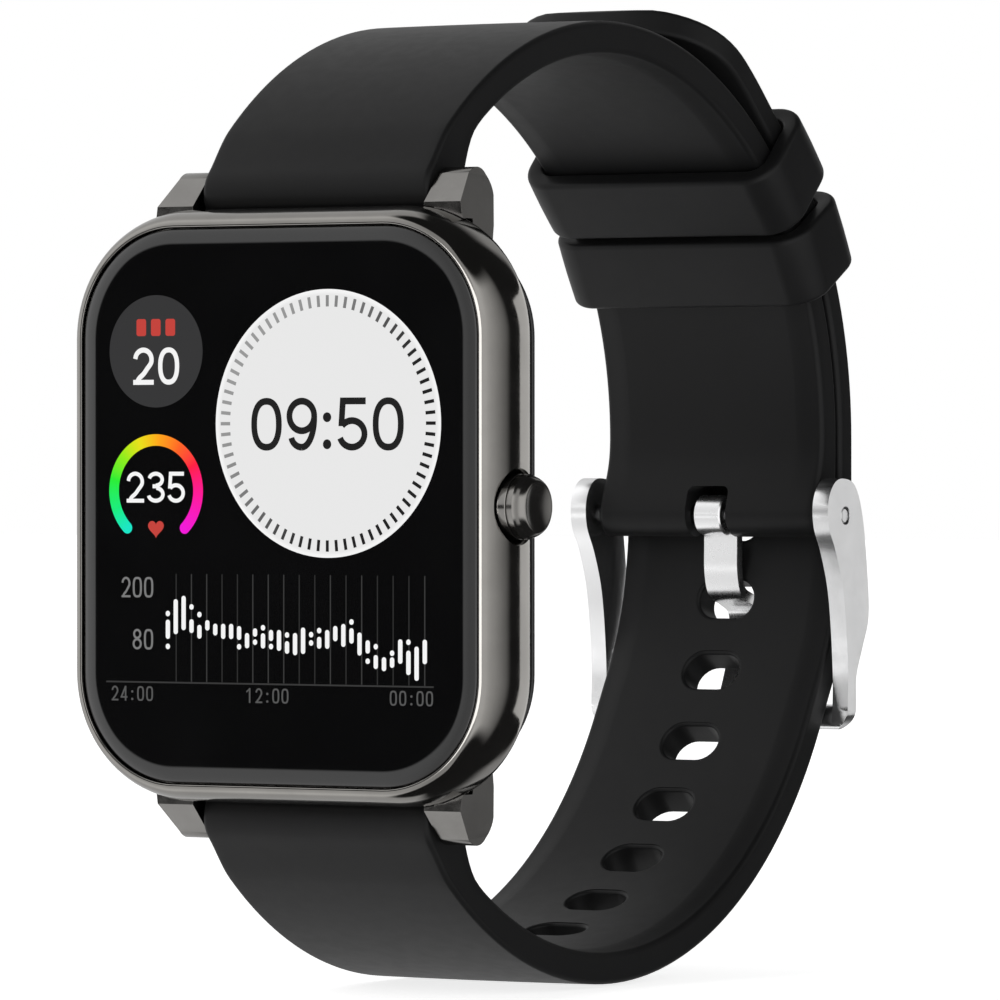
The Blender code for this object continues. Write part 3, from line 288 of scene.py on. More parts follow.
def mesh_from(bm, name):
    bmesh.ops.recalc_face_normals(bm, faces=bm.faces)
    mesh = bpy.data.meshes.new(name)
    bm.to_mesh(mesh)
    bm.free()
    return mesh


def loft(name, loops, ring=False):
    """Skin over loops of points; capped at both ends, or joined last to first as a ring."""
    bm = bmesh.new()
    rows = [[bm.verts.new(Vector(point) * MM) for point in loop] for loop in loops]
    count = len(rows[0])
    for row, after in list(zip(rows, rows[1:])) + ([(rows[-1], rows[0])] if ring else []):
        for i in range(count):
            j = (i + 1) % count
            bm.faces.new((row[i], row[j], after[j], after[i]))
    if not ring:
        bm.faces.new(list(reversed(rows[0])))
        bm.faces.new(rows[-1])
    return mesh_from(bm, name)


def baked(source, name):
    """The object's evaluated mesh in world space; the object is removed."""
    bpy.context.view_layer.update()
    depsgraph = bpy.context.evaluated_depsgraph_get()
    mesh = bpy.data.meshes.new_from_object(source.evaluated_get(depsgraph))
    mesh.transform(source.matrix_world)
    mesh.name = name
    bpy.data.objects.remove(source, do_unlink=True)
    bm = bmesh.new()
    bm.from_mesh(mesh)
    bmesh.ops.remove_doubles(bm, verts=bm.verts, dist=0.0000005)
    bmesh.ops.recalc_face_normals(bm, faces=bm.faces)
    bm.to_mesh(mesh)
    bm.free()
    return mesh


def temp(mesh):
    holder = bpy.data.objects.new(mesh.name + "_tmp", mesh)
    bpy.context.scene.collection.objects.link(holder)
    return holder


# Where a plate's drawing axes and its thickness point
PLANES = {'YZ': Matrix(((0, 0, 1), (1, 0, 0), (0, 1, 0))),
          'XZ': Matrix(((1, 0, 0), (0, 0, -1), (0, 1, 0)))}


def plate(name, outlines, low, high, plane):
    """Flat plate drawn in a plane, filling low to high across it; inner outlines are holes."""
    curve = bpy.data.curves.new(name, 'CURVE')
    curve.dimensions = '2D'
    curve.fill_mode = 'BOTH'
    curve.extrude = (high - low) / 2 * MM
    for outline in outlines:
        spline = curve.splines.new('POLY')
        spline.points.add(len(outline) - 1)
        for point, (across, rise) in zip(spline.points, outline):
            point.co = (across * MM, rise * MM, 0.0, 1.0)
        spline.use_cyclic_u = True
    holder = bpy.data.objects.new(name, curve)
    bpy.context.scene.collection.objects.link(holder)
    matrix = PLANES[plane].to_4x4()
    middle = (low + high) / 2 * MM
    matrix.translation = (middle, 0, 0) if plane == 'YZ' else (0, middle, 0)
    holder.matrix_world = matrix
    return baked(holder, name)


def bevelled(mesh, width, segments, angle):
    holder = temp(mesh)
    bevel = holder.modifiers.new("round", 'BEVEL')
    bevel.width = width * MM
    bevel.segments = segments
    bevel.limit_method = 'ANGLE'
    bevel.angle_limit = math.radians(angle)
    return baked(holder, mesh.name)


def boolean(mesh, *tools, operation='DIFFERENCE'):
    """Apply the tool meshes one after another."""
    for tool in tools:
        target, cutter = temp(mesh), temp(tool)
        modifier = target.modifiers.new("cut", 'BOOLEAN')
        modifier.operation = operation
        modifier.solver = 'EXACT'
        modifier.object = cutter
        mesh = baked(target, mesh.name)
        bpy.data.objects.remove(cutter, do_unlink=True)
    return mesh


def spin(name, profile, steps, place):
    """Closed turned body from (radius, position) points; the profile ends on the axis."""
    bm = bmesh.new()
    rows = []
    for radius, height in profile:
        if radius < 1e-6:
            rows.append([bm.verts.new((0, 0, height))])
        else:
            angles = [2 * math.pi * k / steps for k in range(steps)]
            rows.append([bm.verts.new((radius * math.cos(a), radius * math.sin(a), height))
                         for a in angles])
    for row, after in zip(rows, rows[1:]):
        for i in range(steps):
            j = (i + 1) % steps
            if len(row) == 1:
                bm.faces.new((row[0], after[i], after[j]))
            elif len(after) == 1:
                bm.faces.new((row[i], row[j], after[0]))
            else:
                bm.faces.new((row[i], row[j], after[j], after[i]))
    for vertex in bm.verts:
        vertex.co = Vector(place(*vertex.co)) * MM
    return mesh_from(bm, name)


def spin_x(name, profile, depth, z, steps):
    """Turned about a line along X; the profile is (radius, x)."""
    return spin(name, profile, steps, lambda a, b, h: (h, y_at(depth) + a, z + b))


def spin_y(name, profile, x, z, steps):
    """Turned about a line along Y; the profile is (radius, depth)."""
    profile = [(radius, y_at(depth)) for radius, depth in profile]
    return spin(name, profile, steps, lambda a, b, h: (x + a, h, z + b))


def rod(name, radius, low, high, depth, z, steps):
    """Plain cylinder along X."""
    return spin_x(name, [(0, low), (radius, low), (radius, high), (0, high)], depth, z, steps)


# ------------------------------------------------------------- outline helpers
def arc(centre_x, centre_y, radius, start, end, steps):
    angles = [math.radians(start + (end - start) * i / steps) for i in range(steps + 1)]
    return [(centre_x + radius * math.cos(a), centre_y + radius * math.sin(a)) for a in angles]


def circle(centre_x, centre_y, radius, steps):
    return arc(centre_x, centre_y, radius, 0, 360, steps)[:-1]


def rounded_rect(half_w, half_h, radius, steps, centre=(0.0, 0.0), side_steps=(1, 1)):
    """Rounded rectangle; side_steps divides its horizontal and vertical sides."""
    corners = [arc(centre[0] + side_x * (half_w - radius), centre[1] + side_y * (half_h - radius),
                   radius, 90 * k, 90 * k + 90, steps)
               for k, (side_x, side_y) in enumerate(((1, 1), (-1, 1), (-1, -1), (1, -1)))]
    points = []
    for k, corner in enumerate(corners):
        points += corner
        (x0, y0), (x1, y1) = corner[-1], corners[(k + 1) % 4][0]
        count = side_steps[k % 2]
        points += [(x0 + (x1 - x0) * i / count, y0 + (y1 - y0) * i / count)
                   for i in range(1, count)]
    return points


def case_loop(depth, inset, steps=24):
    """The case's outline at a depth, drawn in by the inset."""
    outline = rounded_rect(CASE_W / 2 - inset, CASE_H / 2 - inset, CASE_R - inset, steps,
                           side_steps=SIDE_STEPS)
    return [(x, y_at(depth), z) for x, z in outline]


def case_loft(name, rows, ring=False, steps=24):
    return loft(name, [case_loop(depth, inset, steps) for depth, inset in rows], ring)


def catmull(points, per, closed=True):
    """Smooth curve through the points, with per steps to each span."""
    points = [Vector(point) for point in points]
    count = len(points)
    curve = []
    for i in range(count if closed else count - 1):
        near = [(i + k) % count if closed else min(max(i + k, 0), count - 1)
                for k in (-1, 0, 1, 2)]
        before, start, end, after = (points[k] for k in near)
        for j in range(per):
            t = j / per
            curve.append(tuple(0.5 * (
                2 * start + (end - before) * t
                + (2 * before - 5 * start + 4 * end - after) * t * t
                + (3 * start - before - 3 * end + after) * t ** 3)))
    if not closed:
        curve.append(tuple(points[-1]))
    return curve


def stroke(line, weight, closed=False):
    """Outline(s) of a line of even weight; a closed line gives a ring."""
    points = [Vector(point) for point in line]
    last = len(points) - 1
    left, right = [], []
    for i, point in enumerate(points):
        after = points[(i + 1) % len(points)] if closed else points[min(i + 1, last)]
        before = points[i - 1] if closed else points[max(i - 1, 0)]
        along = (after - before).normalized()
        side = Vector((-along.y, along.x)) * (weight / 2)
        left.append(tuple(point + side))
        right.append(tuple(point - side))
    return [left, right] if closed else [left + list(reversed(right))]


# ------------------------------------------------------------------- the bezel
def bezel_rows():
    """(depth, inset) round the bezel's section, outside first."""
    start, bulge, inset, steps = 0.05, 3.75, 1.28, 26
    rows = [(0.62, 1.44), (0.30, 1.42), (0.16, 1.40), (0.085, 1.37), (0.055, 1.33)]
    for i in range(steps + 1):
        angle = math.radians(90 * i / steps)
        rows.append((start + (bulge - start) * (1 - math.cos(angle)),
                     inset * (1 - math.sin(angle))))
    return rows + [(4.15, 0.004), (4.55, 0.02), (4.90, 0.06), (5.12, 0.12), (5.27, 0.20),
                   (5.36, 0.29), (5.40, 0.40), (5.40, 1.2), (5.40, 2.9), (1.95, 2.9),
                   (1.90, 1.27), (0.95, 1.30)]


BUTTON_WELL = [(0, 17.0), (WELL_R, 17.0), (WELL_R, 18.18), (WELL_R + 0.06, 18.34),
               (WELL_R + 0.22, 18.52), (WELL_R + 0.22, 22.0), (0, 22.0)]      # (radius, x)
bezel = boolean(case_loft("bezel_ring", bezel_rows(), ring=True),
                spin_x("well_cut", BUTTON_WELL, BUTTON_D, 0, 72),
                rod("stem_cut", 0.80, 13.0, 18.0, BUTTON_D, 0, 32))
put("bezel_ring", bezel, GUNMETAL, "case", "front_bezel", 30, weighted=True)


# ------------------------------------------------------- the case frame and lugs
def frame_rows():
    """(depth, inset) round the frame's section; its outside draws in towards the rear."""
    rows = [(5.58, 0.80), (5.60, 0.68), (5.66, 0.58), (5.74, 0.545), (5.84, 0.56),
            (5.92, 0.62), (5.97, 0.74), (5.98, 1.38)]
    for i in range(1, 9):
        t = i / 8
        rows.append((5.98 + (8.40 - 5.98) * t, 1.50 + 0.75 * t * t))
    return rows + [(8.40, 3.0), (5.58, 3.0)]


def lug_outline():
    """Side view (y, z) of a lower lug: a sloping flank, a round tip and a foot."""
    tip_r, slope, flank = 1.62, 46, 2.90
    tip_depth, tip_z = BAR_D + 0.10, BAR_Z - 0.08
    tip = arc(tip_depth, tip_z, tip_r, slope + 90, slope - 60, 24)
    flank_foot = (tip[0][0] - flank * math.cos(math.radians(slope)),
                  tip[0][1] - flank * math.sin(math.radians(slope)))
    points = [(5.70, 19.2), (5.70, 20.2), (flank_foot[0], 20.2), flank_foot]
    points += tip + [(8.30, 20.3), (8.15, 19.2)]
    return [(y_at(depth), -z) for depth, z in reversed(points)]


def taper_lug(mesh):
    """Make the lug narrower at the tip than at the foot."""
    for vertex in mesh.vertices:
        x, z = abs(vertex.co.x) / MM, abs(vertex.co.z) / MM
        outer = LUG_TIP + (LUG_FOOT - LUG_TIP) * min(max((24.0 - z) / 2.8, 0.0), 1.0)
        x = LUG_IN + (x - LUG_IN) * (outer - LUG_IN) / (LUG_FOOT - LUG_IN)
        vertex.co.x = math.copysign(x * MM, vertex.co.x)


case_frame = case_loft("case_frame_ring", frame_rows(), ring=True)
for side_x in (1, -1):
    for side_z in (1, -1):
        low, high = sorted((side_x * LUG_IN, side_x * LUG_FOOT))
        lug = bevelled(plate(f"lug_{side_x}_{side_z}", [lug_outline()], low, high, 'YZ'),
                       width=0.34, segments=5, angle=50)
        taper_lug(lug)
        if side_z > 0:
            lug.transform(Matrix.Diagonal((1, 1, -1, 1)))
            lug.flip_normals()
        # keep the lug clear of the bezel
        lug = boolean(lug, case_loft("room", [(-1.0, -0.06), (5.50, -0.06)]))
        case_frame = boolean(case_frame, lug, operation='UNION')
case_frame = boolean(case_frame, rod("relief", WELL_R, 17.0, 22.0, BUTTON_D, 0, 64))
for side_z in (1, -1):
    bar_z = side_z * BAR_Z
    case_frame = boolean(case_frame,
                         rod("room", BARREL_R + 0.28, -LUG_IN, LUG_IN, BAR_D, bar_z, 64))
    for side_x in (1, -1):
        low, high = sorted((side_x * (LUG_IN - 0.6), side_x * (LUG_IN + 1.45)))
        case_frame = boolean(case_frame, rod("socket", 0.52, low, high, BAR_D, bar_z, 24))
put("case_frame_ring", case_frame, LUG_METAL, "case", "case_frame", 34,
    weighted=True)


# ------------------------------------------------------------- the cover glass
def glass_rows():
    """(depth, inset): a rounded edge, then the side."""
    drop, run = 0.30, 1.38
    rows = []
    for i in range(19):
        angle = math.radians(90 * i / 18)
        rows.append((drop * (1 - math.cos(angle)), GLASS_INSET + run * (1 - math.sin(angle))))
    return rows + [(0.9, GLASS_INSET + 0.01), (1.40, GLASS_INSET + 0.04)]


put("cover_glass_pane", case_loft("cover_glass_pane", glass_rows()), GLASS, "case",
    "cover_glass", 40)

# ------------------------------------------------------------------ the button
FACE_DISH, FACE_R = 0.30, 1.80
FACE_RADII = (0, 0.25, 0.5, 0.75, 1.0, 1.2, 1.4, 1.55, 1.68, 1.76)
# (radius, distance in from the face): rounded edge, grooved side, hollow back
CAP_SIDE = [
    (1.82, 0.025), (1.87, 0.05), (1.92, 0.09), (2.02, 0.22), (2.14, 0.42), (2.20, 0.56),
    (2.25, 0.70), (2.30, 0.79), (BUTTON_R, 0.88), (BUTTON_R, 1.26), (BUTTON_R - 0.04, 1.30),
    (BUTTON_R - 0.14, 1.33), (BUTTON_R - 0.14, 1.43), (BUTTON_R - 0.04, 1.46), (BUTTON_R, 1.50),
    (BUTTON_R, 2.35), (1.80, 2.40), (1.80, 1.70), (0.62, 1.70)]
# (radius, x) of the grooved stem
STEM = [(0.62, 16.75), (0.42, 16.70), (0.42, 16.15), (0.62, 16.10), (0.62, 15.56),
        (0.40, 15.50), (0.40, 15.22), (0.62, 15.18), (0.50, 15.05), (0, 15.05)]
crown = [(radius, BUTTON_FACE_X - 0.02 - FACE_DISH * (1 - (radius / FACE_R) ** 2))
         for radius in FACE_RADII]
crown += [(radius, BUTTON_FACE_X - inward) for radius, inward in CAP_SIDE] + STEM
put("button_crown", spin_x("button_crown", crown, BUTTON_D, 0, 96), CROWN_METAL, "button",
    "button_cap", 28)


# ------------------------------------------------------------ strap centrelines
def bend(centre, radius, start, end):
    """Arc of a track: its length, and a function giving (point, heading) at a fraction."""
    sign = 1 if end > start else -1

    def at(fraction):
        angle = math.radians(start + (end - start) * fraction)
        sine, cosine = math.sin(angle), math.cos(angle)
        return ((centre[0] + radius * sine, centre[1] + radius * cosine),
                (sign * cosine, -sign * sine))
    return abs(math.radians(end - start)) * radius, at


def straight(start, end):
    """Straight of a track, given the same way as a bend."""
    run_d, run_z = end[0] - start[0], end[1] - start[1]
    length = math.hypot(run_d, run_z)

    def at(fraction):
        return ((start[0] + run_d * fraction, start[1] + run_z * fraction),
                (run_d / length, run_z / length))
    return length, at


class Track:
    """Bends and straights end to end in the (depth, z) plane, angles from +Z to +Y.

    outward is 1 if the outer face lies to the left of the heading, -1 if to the right."""

    def __init__(self, outward, *pieces):
        self.outward, self.pieces = outward, pieces
        self.starts, self.length = [], 0.0
        for length, _ in pieces:
            self.starts.append(self.length)
            self.length += length

    def at(self, along):
        reached = [k for k, start in enumerate(self.starts) if along >= start - 1e-9]
        k = max(reached, default=0)
        length, point_at = self.pieces[k]
        return point_at((along - self.starts[k]) / length)


(loop_d, loop_z), (back_d, back_z) = LOOP_CENTRE, BACK_CENTRE
LOOP_MID_R, BACK_MID_R, LOWER_MID_R = (r - HALF_T for r in (LOOP_R, BACK_R, LOWER_R))
JOIN_ANGLE = math.degrees(math.atan2(back_d - loop_d, back_z - loop_z))
SHORT_START = math.degrees(math.atan2(BAR_D - loop_d, BAR_Z - loop_z))
PIN_ANGLE = 90 + math.degrees(math.asin((back_z - PIN_Z) / BACK_MID_R))
SHORT = Track(1, bend(LOOP_CENTRE, LOOP_MID_R, SHORT_START, JOIN_ANGLE),
              bend(BACK_CENTRE, BACK_MID_R, JOIN_ANGLE, PIN_ANGLE))


def long_track():
    """Up from the lower bar, then over the short strap, with the tail lifting off it."""
    long_start = 180 + math.degrees(math.atan2(loop_d - BAR_D, BAR_Z))
    leave_angle, straight_length = 120.0, 4.0
    slope = math.radians(180 - leave_angle)
    tail_d = back_d + BACK_R + LAYER_GAP + TAIL_T / 2
    leave = (loop_d + LOWER_MID_R * math.sin(math.radians(leave_angle)),
             LOWER_MID_R * math.cos(math.radians(leave_angle)))
    turn_in = (leave[0] + straight_length * math.cos(slope),
               leave[1] + straight_length * math.sin(slope))
    swing_r = (tail_d - turn_in[0]) / (1 - math.sin(slope))
    swing_z = turn_in[1] + swing_r * math.cos(slope)
    lift_angle, lift_length, curl_r, tip_angle = 43.0, 5.0, 36.0, 26.0
    tail_r = LOOP_R + LAYER_GAP + TAIL_T / 2
    lift_d, lift_z = math.sin(math.radians(lift_angle)), math.cos(math.radians(lift_angle))
    lift_off = (loop_d + tail_r * lift_d, loop_z + tail_r * lift_z)
    curl_on = (lift_off[0] - lift_length * lift_z, lift_off[1] + lift_length * lift_d)
    curl_centre = (curl_on[0] - curl_r * lift_d, curl_on[1] - curl_r * lift_z)
    return Track(-1, bend(LOWER_CENTRE, LOWER_MID_R, long_start, leave_angle),
                 straight(leave, turn_in),
                 bend((tail_d - swing_r, swing_z), swing_r, leave_angle, 90.0),
                 straight((tail_d, swing_z), (tail_d, back_z)),
                 bend(BACK_CENTRE, tail_d - back_d, 90.0, JOIN_ANGLE),
                 bend(LOOP_CENTRE, tail_r, JOIN_ANGLE, lift_angle),
                 straight(lift_off, curl_on),
                 bend(curl_centre, curl_r, lift_angle, tip_angle))


LONG = long_track()


# --------------------------------------------------------------- strap helpers
def ease(start, end, t):
    t = min(max(t, 0.0), 1.0)
    return start + (end - start) * t * t * (3 - 2 * t)


def strap_face(at_bar, plain, beyond, settle, change_at, change_run):
    """Offset of a face from the track: at_bar settling to plain, later changing to beyond."""
    return lambda along: ease(ease(at_bar, plain, along / settle), beyond,
                              (along - change_at) / change_run)


def strap_section(track, along, half_w, outer, inner, band=1.0):
    """One moulded section: rounded edges, a slight crown outside and a shallow
    bevelled band along each edge of the wrist side."""
    (depth, z), (head_d, head_z) = track.at(along)
    normal_d, normal_z = track.outward * -head_z, track.outward * head_d
    thick = outer - inner
    outer_r = min(0.42, 0.36 * thick, 0.5 * half_w)
    inner_r = min(0.42, 0.26 * thick, 0.4 * half_w)
    band_w = min(2.05, 0.30 * half_w)
    band_h = min(0.20, 0.08 * thick) * band
    crown_h = 0.05 * min(1.0, thick / 2.4)
    half = []
    for fraction in (0.0, 0.18, 0.36, 0.54, 0.70, 0.84, 0.94):
        x = fraction * (half_w - outer_r)
        half.append((x, outer - crown_h * (x / half_w) ** 2))
    half += arc(half_w - outer_r, outer - crown_h - outer_r, outer_r, 90, 0, 8)
    half += arc(half_w - inner_r, inner + band_h + inner_r, inner_r, 0, -90, 6)
    half += [(half_w - inner_r - 0.25 * (band_w - inner_r), inner + band_h * 0.86),
             (half_w - inner_r - 0.62 * (band_w - inner_r), inner + band_h * 0.36),
             (half_w - band_w, inner + band_h * 0.05)]
    flat = half_w - band_w - min(0.3, 0.04 * half_w)
    half += [(flat * fraction, inner) for fraction in (1.0, 0.75, 0.5, 0.25, 0.0)]
    points = half + [(-x, offset) for x, offset in reversed(half[1:-1])]
    return [(x, y_at(depth + normal_d * offset), z + normal_z * offset) for x, offset in points]


def barrel_end(track, along, sign, offset, radius):
    """Sections of a half-round end, from its extreme back to the given station."""
    angles = [math.radians(10 + 80 * k / 10) for k in range(10)]
    return [strap_section(track, along + sign * radius * math.cos(a), STRAP_HALF_W,
                          offset + radius * math.sin(a), offset - radius * math.sin(a), 0)
            for a in angles]


def spread(start, end, step):
    count = max(1, int(round((end - start) / step)))
    return [start + (end - start) * i / count for i in range(count + 1)]


def frame_matrix(x_axis, y_axis, z_axis, depth, z):
    """Matrix with the given axes and its origin at (0, depth, z)."""
    matrix = Matrix((x_axis, y_axis, z_axis)).transposed().to_4x4()
    matrix.translation = Vector((0, y_at(depth), z)) * MM
    return matrix


def local_frame(track, along):
    """Axes across, along and out of the strap at a station."""
    (depth, z), (head_d, head_z) = track.at(along)
    normal = Vector((0, track.outward * -head_z, track.outward * head_d))
    forward = Vector((0, head_d, head_z))
    return frame_matrix(forward.cross(normal), forward, normal, depth, z)


def bore(name, radius, depth, z):
    return rod(name, radius, -11, 11, depth, z, 40)


def lever_window(track, z):
    """A rounded window in the wrist side of the strap's end, over the bar's lever."""
    _, (head_d, head_z) = track.at(0.0)
    inward = Vector((0, track.outward * head_z, -track.outward * head_d)).normalized()
    x_axis = Vector((1, 0, 0))
    # (height, growth) of the opening
    rows = ((0.2, 0.0), (1.9, 0.0), (2.05, 0.04), (2.18, 0.12), (2.30, 0.26), (3.2, 0.9))
    mesh = loft("lever_window", [
        [(4.75 + x, y, height)
         for x, y in rounded_rect(1.85 + grow, 1.0 + grow, 0.45 + grow, 6)]
        for height, grow in rows])
    mesh.transform(frame_matrix(x_axis, inward.cross(x_axis), inward, BAR_D, z))
    return mesh


# Stations where both straps leave the bar
BAR_STATIONS = [0.0, 0.5, 1.0, 1.6, 2.2, 2.8, 3.4, 4.0, 4.8, 5.6, 6.4, 7.2]


def band_start(along):
    """The edge bands grow in over 5 mm, 3 mm from the bar."""
    return min(1, max(0, (along - 3) / 5))


# ------------------------------------------------------------- the short strap
short_end = SHORT.length
bar_off = math.hypot(BAR_D - loop_d, BAR_Z - loop_z) - LOOP_MID_R
pin_off = PIN_D - SHORT.at(short_end)[0][0]
short_out = strap_face(bar_off + BARREL_R, HALF_T, pin_off + PIN_BARREL_R,
                       settle=4.0, change_at=short_end - 6.0, change_run=6.0)
short_in = strap_face(bar_off - BARREL_R, -HALF_T, pin_off - PIN_BARREL_R,
                      settle=7.0, change_at=short_end - 5.0, change_run=5.0)
loops = barrel_end(SHORT, 0.0, -1, bar_off, BARREL_R)
for along in (BAR_STATIONS + spread(8.0, short_end - 6, 1.0)
              + spread(short_end - 5.5, short_end, 0.5)):
    band = band_start(along) * min(1, max(0, (short_end - 1 - along) / 5))
    loops.append(strap_section(SHORT, along, STRAP_HALF_W, short_out(along), short_in(along),
                               band))
loops += reversed(barrel_end(SHORT, short_end, 1, pin_off, PIN_BARREL_R))
short_strap = boolean(
    loft("strap_short_silicone", loops),
    bore("bar_bore", 0.95, BAR_D, BAR_Z),
    bore("pin_bore", 0.85, PIN_D, PIN_Z),
    plate("notch", [rounded_rect(1.85, 3.15, 0.55, 8, centre=(0, PIN_Z - 0.85))],
          y_at(PIN_D - 4), y_at(PIN_D + 4), 'XZ'),
    lever_window(SHORT, BAR_Z))
put("strap_short_silicone", short_strap, RUBBER_SHORT, "upper_strap", "strap_short",
    38, weighted=True)

# -------------------------------------------------------------- the long strap
long_end, thin_at = LONG.length, LONG.starts[3]
TIP_LENGTH, TIP_POWER = 7.5, 2.5
TIP_ANGLES = [*range(6, 78, 6), 75, 78, 80.5, 83, 85, 86.6, 88]
low_off = math.hypot(BAR_D - loop_d, BAR_Z) - LOWER_MID_R
long_out = strap_face(low_off + BARREL_R, HALF_T, TAIL_T / 2,
                      settle=4.0, change_at=thin_at - 4.0, change_run=6.0)
long_in = strap_face(low_off - BARREL_R, -HALF_T, -TAIL_T / 2,
                     settle=7.0, change_at=thin_at - 4.0, change_run=6.0)


def tip_section(angle):
    """Section across the rounded tip, which also thins over its last 0.9 mm."""
    t = math.sin(math.radians(angle))
    along = long_end - TIP_LENGTH + TIP_LENGTH * t
    half_w = STRAP_HALF_W * (1.0 - t ** TIP_POWER) ** (1.0 / TIP_POWER)
    thin = 1.0 - 0.45 * max(0.0, (along - long_end + 0.9) / 0.9) ** 2
    return strap_section(LONG, along, half_w, long_out(along) * thin, long_in(along) * thin)


def along_at_height(track, z, low, high):
    """Station between low and high where the rising track reaches height z."""
    for _ in range(60):
        middle = (low + high) / 2
        if track.at(middle)[0][1] < z:
            low = middle
        else:
            high = middle
    return (low + high) / 2


def strap_hole(along):
    """Cutter for a slot across the strap, its rims rounded over on both faces."""
    angles = [math.radians(90 * k / 6) for k in range(7)]
    rim = [(HOLE_RIM_R * (1 - math.cos(a)), HOLE_RIM_R * (1 - math.sin(a))) for a in angles]
    inner, outer = long_in(along), long_out(along)
    rows = [(inner - 0.8, HOLE_RIM_R + 0.02)]
    rows += [(inner + rise, grow) for rise, grow in rim]
    rows += [(outer - rise, grow) for rise, grow in reversed(rim)]
    rows.append((outer + 0.8, HOLE_RIM_R + 0.02))
    half = (HOLE_W - HOLE_H) / 2
    loops = []
    for height, grow in rows:
        radius = HOLE_H / 2 + grow
        stadium = arc(half, 0, radius, -90, 90, 14) + arc(-half, 0, radius, 90, 270, 14)
        loops.append([(x, y, height) for x, y in stadium])
    mesh = loft("hole", loops)
    mesh.transform(local_frame(LONG, along))
    return mesh


loops = barrel_end(LONG, 0.0, -1, low_off, BARREL_R)
for along in BAR_STATIONS + spread(8.0, long_end - TIP_LENGTH, 1.0):
    loops.append(strap_section(LONG, along, STRAP_HALF_W, long_out(along), long_in(along),
                               band_start(along)))
loops += [tip_section(angle) for angle in TIP_ANGLES]
tang_hole = along_at_height(LONG, TANG_HOLE_Z, LONG.starts[1], LONG.starts[3])
long_strap = boolean(
    loft("strap_long_silicone", loops),
    bore("bar_bore", 0.95, BAR_D, -BAR_Z),
    lever_window(LONG, -BAR_Z),
    *[strap_hole(tang_hole + HOLE_PITCH * k) for k in range(-6, 4)])
put("strap_long_silicone", long_strap, RUBBER_LONG, "lower_strap", "strap_long",
    38, weighted=True)


# ----------------------------------------------------------------- the keepers
def along_at_angle(angle):
    """Station on the short strap at an angle about the arc's centre."""
    if angle <= JOIN_ANGLE:
        return math.radians(angle - SHORT_START) * LOOP_MID_R
    return SHORT.starts[1] + math.radians(angle - JOIN_ANGLE) * BACK_MID_R


def keeper(name, angle, body, node):
    """Band round both strap layers, with rounded edges and a slight crown outside."""
    low, high = -HALF_T - 0.30, HALF_T + LAYER_GAP + TAIL_T + 0.40
    half_h, half_w = (high - low) / 2, STRAP_HALF_W + 0.25
    outer = rounded_rect(half_w + KEEPER_T, half_h + KEEPER_T, 2.7, 14)
    inner = rounded_rect(half_w, half_h, 1.2, 14)
    outward = [(Vector(out) - Vector(inn)).normalized() for out, inn in zip(outer, inner)]
    half = KEEPER_H / 2

    def rounding(radius, angles):
        return [(half - radius + radius * math.sin(math.radians(a)),
                 radius * (1 - math.cos(math.radians(a)))) for a in angles]

    # rows of (place along the strap, outline, shift outwards)
    rows = [(0.0, outer, 0.0), (half * 0.45, outer, -0.015)]
    rows += [(run, outer, -(0.04 + drop)) for run, drop in rounding(0.42, range(0, 91, 15))]
    rows += [(run, inner, drop) for run, drop in rounding(0.22, (90, 60, 30, 0))]
    rows += [(-run, outline, shift) for run, outline, shift in reversed(rows[1:])]
    place = local_frame(SHORT, along_at_angle(angle))
    across, forward, normal = (place.col[i].to_3d() for i in range(3))
    origin = place.translation / MM + normal * ((low + high) / 2)
    loops = []
    for run, outline, shift in rows:
        flat = [Vector(point) + way * shift for point, way in zip(outline, outward)]
        loops.append([tuple(origin + across * point.x + normal * point.y + forward * run)
                      for point in flat])
    put(name, loft(name, loops, ring=True), RUBBER_KEEPER, body, node, 50)


keeper("keeper_fixed_band", 59.6, "upper_strap", "keeper_fixed")
keeper("keeper_loose_band", 45.4, "loose_keeper", "keeper_free")

# ------------------------------------------------------------------ the buckle
# Side view of an arm, (depth, z) from the pin
ARM = [(-0.4, 2.9), (1.5, 2.35), (2.7, 0.0), (3.45, -4.2), (3.70, -7.9), (2.75, -10.3),
       (1.75, -12.6), (1.70, -14.9), (1.55, -16.1), (0.95, -16.75), (0.35, -16.3),
       (0.38, -14.9), (0.42, -12.4), (0.10, -8.7), (-0.45, -5.6), (-1.5, -2.9), (-2.6, -0.9),
       (-2.7, 1.1), (-1.8, 2.5)]
BAR_CENTRE = (PIN_D + 1.08, PIN_Z - 15.80)


def from_pin(points):
    return [(y_at(PIN_D + depth), PIN_Z + z) for depth, z in points]


def cross_bar():
    """Bar joining the arms' lower ends: an oval section, leaning."""
    lean = math.radians(62)
    points = []
    for k in range(48):
        angle = math.radians(7.5 * k)
        wide, narrow = 1.05 * math.cos(angle), 0.62 * math.sin(angle)
        points.append((
            y_at(BAR_CENTRE[0] + wide * math.cos(lean) - narrow * math.sin(lean)),
            BAR_CENTRE[1] + wide * math.sin(lean) + narrow * math.cos(lean)))
    return plate("bar", [points], -ARM_IN - 0.7, ARM_IN + 0.7, 'YZ')


def arm(name, low, high):
    return bevelled(plate(name, [from_pin(catmull(ARM, 5))], low, high, 'YZ'),
                    width=0.30, segments=4, angle=40)


buckle = boolean(arm("buckle_polished", ARM_IN, ARM_OUT), arm("left", -ARM_OUT, -ARM_IN),
                 cross_bar(), operation='UNION')
